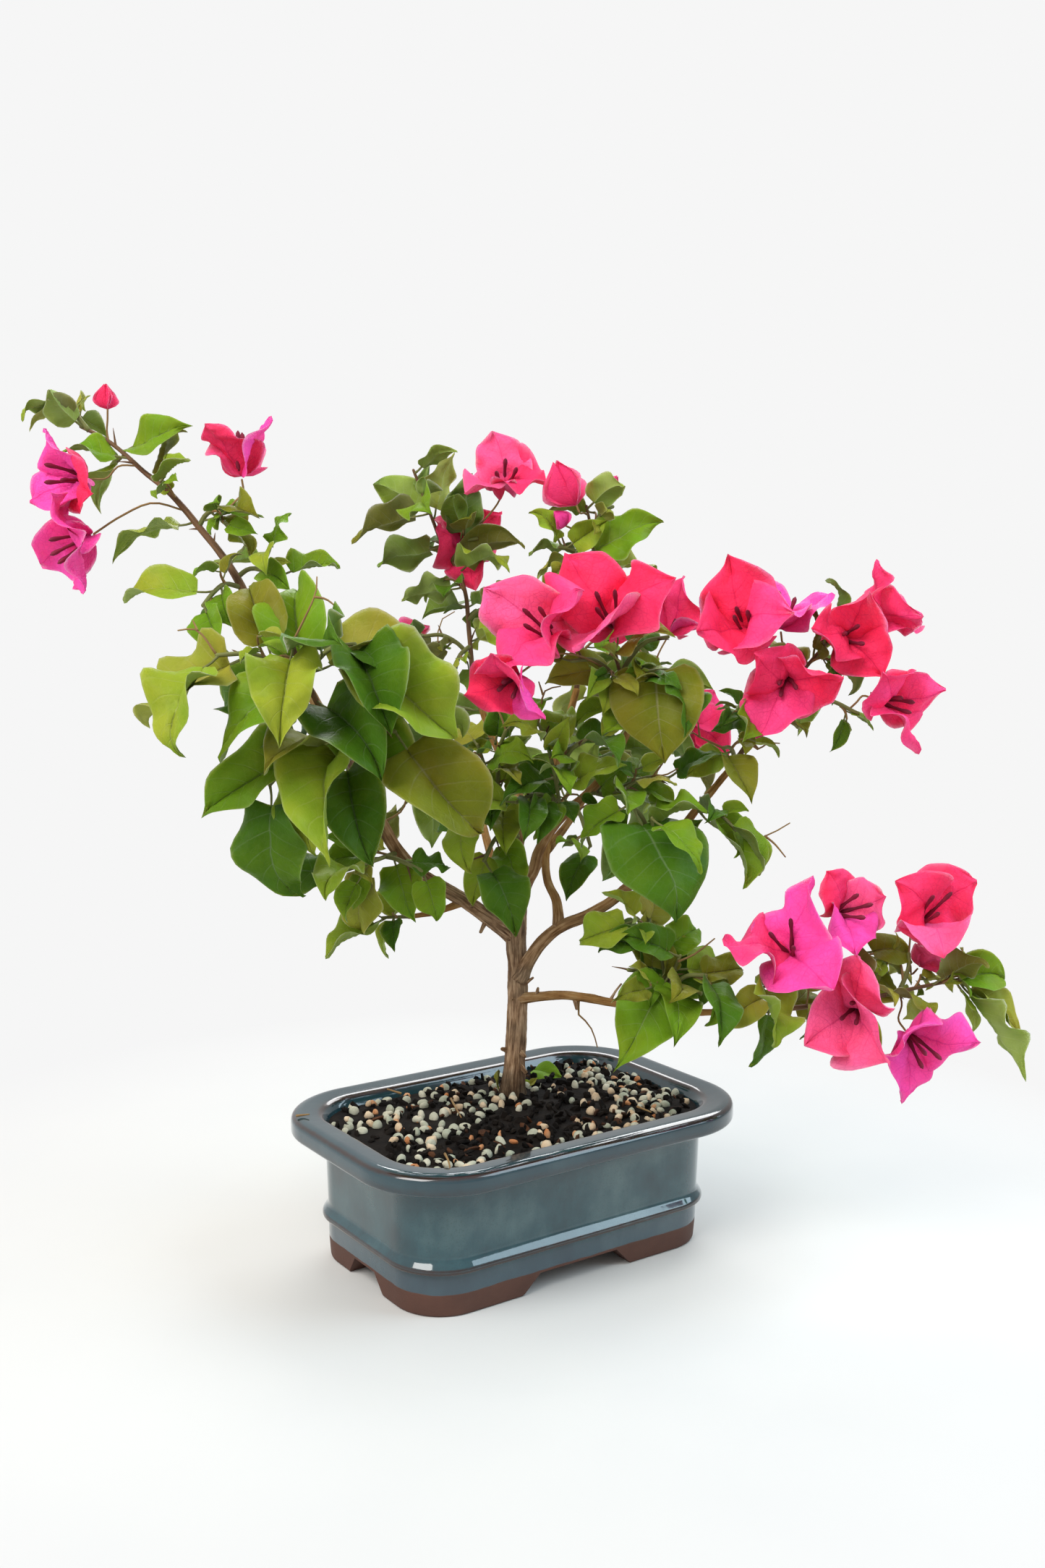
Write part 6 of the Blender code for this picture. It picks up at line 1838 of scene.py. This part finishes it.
def bark_finish():
    """Tan bark in lengthwise fibres: grey and pinkish on old wood, orange brown to green on young."""
    skin = Finish("fibrous_bark", IOR=1.4, Specular_IOR_Level=0.15)
    grain = skin.read("grain", "Vector")
    fibre = skin.noise(skin.stretched(grain, (1, 1, 0.09)), 900.0, 5.0, 0.62)
    broad = skin.noise(grain, 130.0, 3.0)
    old = skin.ramp(fibre * 0.72 + broad * 0.28, (0.36, (0.055, 0.024, 0.012)),
                    (0.47, (0.200, 0.115, 0.064)), (0.57, (0.430, 0.275, 0.160)), (0.68, (0.66, 0.49, 0.34)))
    patch = ((skin.noise(grain, 60.0, 2.0) - 0.46) * 4.0).kept()
    old = skin.blend(patch * 0.4, old, (0.255, 0.205, 0.135))
    fresh = skin.ramp(fibre * 0.6 + broad * 0.4, (0.30, (0.110, 0.046, 0.012)),
                      (0.50, (0.310, 0.155, 0.045)), (0.72, (0.430, 0.280, 0.100)))
    high = skin.part(skin.place(), "Z")
    old = skin.blend(((0.084 - high + (broad - 0.5) * 0.02) * 90.0).kept() * 0.75, old, (0.030, 0.022, 0.014))
    return skin.wear(Base_Color=skin.blend(skin.read("young"), old, fresh), Roughness=0.82,
                     Normal=skin.bump(fibre, 0.9, 0.0011))


def twig_finish(name, color, dark):
    """Thin young bark, in fibres of two colors."""
    skin = Finish(name, IOR=1.4, Specular_IOR_Level=0.25)
    fibre = skin.noise(skin.stretched(skin.read("grain", "Vector"), (1, 1, 0.15)), 700.0, 3.0)
    return skin.wear(Base_Color=skin.blend(((fibre - 0.35) * 2.5).kept(), dark, color), Roughness=0.6,
                     Normal=skin.bump(fibre, 0.3, 0.0003))


def blade_finish(name, color, vein, other, *, rough, side_veins, net, glow, depth, shine, painted_throat_shade=0.0,
                 relief=0.35):
    """A blade's finish: a midrib and side veins along its own map, mottled between them, with painted shade
    that darkens it towards its foot where asked.
    """
    skin = Finish(name, IOR=1.33, Subsurface_Weight=glow, Subsurface_Scale=0.0008,
                  Subsurface_Radius=(1.0, 0.9, 0.8), Specular_IOR_Level=shine)
    own = skin.add("ShaderNodeTexCoord", output="UV")
    off = abs(skin.part(own, "X") - 0.5) * 2.0
    along_it = skin.part(own, "Y")
    rib = (1.0 - off * 26.0).kept()
    row = abs((along_it * side_veins - off * 0.9).fraction() - 0.5) * 2.0
    side = ((0.12 - row) * 9.0).kept() * (1.0 - off * 0.85)
    fine = skin.add("ShaderNodeTexVoronoi", {"feature": "DISTANCE_TO_EDGE"},
                    {"Vector": skin.stretched(own, (1.0, 1.3, 1.0)), "Scale": 15.0})
    mesh_lines = ((0.07 - fine) * 14.0).kept() * net
    veins = (rib * 0.9 + side * 0.5 + mesh_lines + ((off - 0.93) * 12.0).kept() * 0.35).kept()
    cloud = skin.noise(skin.place(), 110.0, 4.0, 0.6)
    broad = skin.noise(skin.place(), 38.0, 2.0)
    tone = skin.blend(((broad - 0.40) * 4.0).kept(), color, other)
    tone = skin.blend(((0.52 - cloud) * 2.6).kept() * 0.45, tone, dimmed(color, 0.6))
    # Painted shade: the blade is drawn darker towards its foot, in the hollow where a blossom's bracts meet.
    tone = skin.blend((0.9 - along_it * 3.2).kept() * painted_throat_shade, tone, dimmed(color, 0.55))
    tone = skin.blend(veins * depth, tone, vein)
    height = (1.0 - veins) * 0.5 + skin.noise(skin.place(), 300.0, 3.0) * 0.6
    return skin.wear(Base_Color=tone, Roughness=rough, Normal=skin.bump(height, relief, 0.0006))


LEAF_COLORS = {"deep": (0.050, 0.128, 0.007), "mid": (0.121, 0.236, 0.010), "fresh": (0.200, 0.298, 0.020),
               "lime": (0.235, 0.262, 0.026), "olive": (0.135, 0.154, 0.010)}
# What each tint's blades turn to in patches.
WARMER = {"deep": (0.071, 0.147, 0.008), "mid": (0.153, 0.235, 0.010), "fresh": (0.252, 0.292, 0.022),
          "lime": (0.282, 0.254, 0.028), "olive": (0.172, 0.156, 0.012)}
BACK_COLORS = {"deep": (0.092, 0.156, 0.020), "mid": (0.140, 0.212, 0.026), "fresh": (0.196, 0.275, 0.034),
               "lime": (0.280, 0.312, 0.044), "olive": (0.152, 0.158, 0.024)}
BRACT_COLORS = {"pink": (0.93, 0.044, 0.165), "magenta": (0.95, 0.062, 0.310),
                "crimson": (0.88, 0.030, 0.105), "rose": (0.95, 0.088, 0.230)}
# Painted shade: how much darker a bract's back is drawn than its front, as a dimmed copy of it.
BACK_SHADE_DIM = {"": 1.0, "_back": 0.9}


def leaf_finishes():
    """The fronts of all tints, then their backs."""
    fronts = [blade_finish(f"leaf_{tint}", LEAF_COLORS[tint], pale(WARMER[tint], 0.09), WARMER[tint],
                           rough=0.38, side_veins=7.0, net=0.12, glow=0.25, depth=0.75, shine=0.12,
                           relief=0.9) for tint in LEAF_TINTS]
    backs = [blade_finish(f"leaf_back_{tint}", BACK_COLORS[tint], pale(BACK_COLORS[tint], 0.16),
                          pale(BACK_COLORS[tint], 0.05), rough=0.62, side_veins=7.0, net=0.15, glow=0.3,
                          depth=0.6, shine=0.09) for tint in LEAF_TINTS]
    return fronts + backs


def bract_finishes():
    """The fronts of all tints, then their backs, dimmed as painted shade."""
    made = []
    for suffix, dim in BACK_SHADE_DIM.items():
        for tint in BRACT_TINTS:
            color = dimmed(BRACT_COLORS[tint], dim)
            vein = (color[0] * 0.62, color[1] * 0.4, color[2] * 0.7)
            other = (color[0] * 0.94, color[1] * 1.3, color[2] * 1.35)
            made.append(blade_finish(f"bract_{tint}{suffix}", color, vein, other, rough=0.55, side_veins=6.0,
                                     net=0.5, glow=0.3, depth=0.7, shine=0.14, painted_throat_shade=0.6, relief=0.6))
    return made


def grain_finish(name, color, other):
    """Rough earth or stone, patched with another color and specked dark."""
    skin = Finish(name, IOR=1.4, Specular_IOR_Level=0.15)
    place = skin.place()
    tone = skin.blend(((skin.noise(place, 110.0, 2.0) - 0.36) * 3.6).kept(), other, color)
    speck = ((skin.noise(place, 900.0, 2.0) - 0.58) * 6.0).kept() * 0.4
    return skin.wear(Base_Color=skin.blend(speck, tone, dimmed(color, 0.4)), Roughness=0.85,
                     Normal=skin.bump(skin.noise(place, 1300.0, 3.0), 0.5, 0.0006))


# The camera, fitted to the pot in the photograph: its place from the pot's middle, and the way it looks.
CAMERA_PLACE = Vector((-0.40973, -0.58390, 0.31051))
CAMERA_TURN = math.radians(-35.239)
CAMERA_TILT = math.radians(6.807)
CAMERA_ROLL = math.radians(0.379)
LENS = 35.0
FILM_WIDE = 36.0
NEAREST = 0.01


def make_camera():
    """The photograph's camera."""
    level = Vector((math.cos(CAMERA_TURN), math.sin(CAMERA_TURN), 0))
    ahead = Vector((-math.sin(CAMERA_TURN) * math.cos(CAMERA_TILT),
                    math.cos(CAMERA_TURN) * math.cos(CAMERA_TILT), -math.sin(CAMERA_TILT)))
    above = level.cross(ahead)
    right = level * math.cos(CAMERA_ROLL) + above * math.sin(CAMERA_ROLL)
    up = above * math.cos(CAMERA_ROLL) - level * math.sin(CAMERA_ROLL)
    camera = linked("camera", bpy.data.cameras.new("camera"))
    camera.data.lens = LENS
    camera.data.sensor_width = FILM_WIDE
    camera.data.sensor_fit = "AUTO"
    camera.data.clip_start = NEAREST
    turn = Matrix((right, up, -ahead)).transposed()
    camera.matrix_world = Matrix.Translation(CAMERA_PLACE + MIDDLE) @ turn.to_4x4()
    bpy.context.scene.camera = camera


def area_light(name, place, aim, size, power, color=(1, 1, 1)):
    """A soft lamp at a place, aimed at another."""
    lamp = bpy.data.lights.new(name, "AREA")
    lamp.shape = "RECTANGLE"
    lamp.size, lamp.size_y = size
    lamp.energy = power
    lamp.color = color
    way = (aim - place).normalized()
    turn = way.to_track_quat("-Z", "Y").to_matrix().to_4x4()
    linked(name, lamp).matrix_world = Matrix.Translation(place) @ turn


def seen(across, near, high):
    """A place beside the pot as the camera sees it, in metres: right, towards it, and up."""
    return MIDDLE + Matrix.Rotation(CAMERA_TURN, 3, "Z") @ Vector((across, -near, high))


# The studio's pale backdrop, and how bright the room is, away from the key light and towards it.
PALE = (0.922, 0.922, 0.922)
ROOM = (0.46, 1.14)
ROOM_AIM = (-0.8, 0.3, 0.5)
# The floor: its reach, its corners, and from how far out, how fast, it turns to the backdrop's own color.
FLOOR_REACH = 3
FLOOR_SIDES = 64
FLOOR_FADE = (0.16, 4.0)


def make_sky():
    """A pale backdrop for the camera, and for the light a room that is brighter towards the key."""
    world = bpy.data.worlds.new("pale_studio")
    world.use_nodes = True
    sky = Nodes(world.node_tree)
    backdrop = world.node_tree.nodes["Background"]
    sky.put(backdrop.inputs[0], PALE)
    way = sky.add("ShaderNodeTexCoord", output="Generated")
    near = sky.add("ShaderNodeVectorMath", {"operation": "DOT_PRODUCT"},
                   {0: way, 1: (seen(*ROOM_AIM) - MIDDLE).normalized()}, output="Value")
    bright = sky.add("ShaderNodeMapRange", {}, {0: near, 1: -1.0, 2: 1.0, 3: ROOM[0], 4: ROOM[1]})
    room = sky.add("ShaderNodeBackground", {}, {1: bright})
    rays = sky.add("ShaderNodeLightPath", output="Is Camera Ray")
    both = sky.add("ShaderNodeMixShader", {}, {0: rays, 1: room, 2: Value(sky, backdrop.outputs[0])})
    sky.put(world.node_tree.nodes["World Output"].inputs[0], both)
    bpy.context.scene.world = world


def make_stage():
    """A pale floor, a pale sky and soft studio light."""
    make_sky()
    skin = Finish("pale_floor", Roughness=0.9)
    cloud = skin.noise(skin.place(), 9.0, 2.0)
    skin.wear(Base_Color=skin.blend(cloud, (0.56, 0.56, 0.55), (0.62, 0.61, 0.58)))
    away = skin.add("ShaderNodeVectorMath", {"operation": "LENGTH"}, {0: skin.place()}, output=1)
    glow = skin.add("ShaderNodeEmission", {}, {"Color": PALE})
    start, speed = FLOOR_FADE
    both = skin.add("ShaderNodeMixShader", {}, {0: ((away - start) * speed).kept(),
                                                1: Value(skin, skin.skin.outputs[0]), 2: glow})
    skin.put(skin.tree.nodes["Material Output"].inputs[0], both)
    turns = [k * math.pi / (FLOOR_SIDES / 2) for k in range(FLOOR_SIDES)]
    ring = [Vector((math.cos(turn) * FLOOR_REACH, math.sin(turn) * FLOOR_REACH, 0)) for turn in turns]
    floor = finished("floor", plain_mesh("floor", ring, [tuple(range(FLOOR_SIDES))]), [skin.material])
    area_light("key", seen(-0.7, 0.9, 1.3), seen(0, 0, 0.2), (0.9, 0.9), 22.5, (1.0, 0.98, 0.95))
    area_light("window", seen(0.95, 0.02, 0.80), seen(0, 0, 0.06), (0.9, 0.9), 12.5, (0.66, 0.86, 1.0))
    area_light("behind", seen(0.2, -1.2, 1.2), seen(0, 0, 0.2), (1.2, 0.6), 14.0)
    bpy.context.scene.view_settings.view_transform = "Standard"


# The finishes of twigs and flower tubes: their name, color and the color between their fibres.
TWIGS = [("twig_brown", (0.200, 0.110, 0.050), (0.090, 0.045, 0.022)),
         ("twig_green", (0.190, 0.210, 0.060), (0.120, 0.120, 0.040)),
         ("twig_fresh", (0.300, 0.200, 0.070), (0.200, 0.110, 0.045))]
CRIMSON = ("tube_crimson", (0.230, 0.020, 0.045), (0.110, 0.012, 0.030))


def mount(piece, slot, *nodes):
    """The piece rides with the plant and stands for the solids it replaces."""
    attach(piece, "root")
    if nodes:
        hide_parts(*nodes)


def main():
    make_camera()
    make_stage()
    mount(make_pot(glaze_finish()), "glaze", "pot")
    earth = grain_finish(*EARTH)
    mount(make_soil(earth), "soil", "soil")
    group, keys = grain_tree()
    top = soil_top()
    for grains in GRAINS:
        finish = grain_finish(*grains.finish) if grains.finish else earth
        mount(strewn(group, keys, top, grains, finish), "soil")
    mount(make_limbs(bark_finish()), "bark", *LIMBS)
    stalks, green, bracts, tubes = grow_plant()
    mount(stalks.piece("twigs_and_stalks", [twig_finish(*twig) for twig in TWIGS]), "bark", *MASSES)
    blades = leaf_finishes()
    for side, bunch in green.items():
        mount(bunch.piece(f"leaves_{side}", blades, BLADE_SHARP), "leaf")
    mount(bracts.piece("bracts", bract_finishes(), BLADE_SHARP), "bract")
    mount(tubes.piece("flower_tubes", [twig_finish(*CRIMSON)]), "bract")


main()
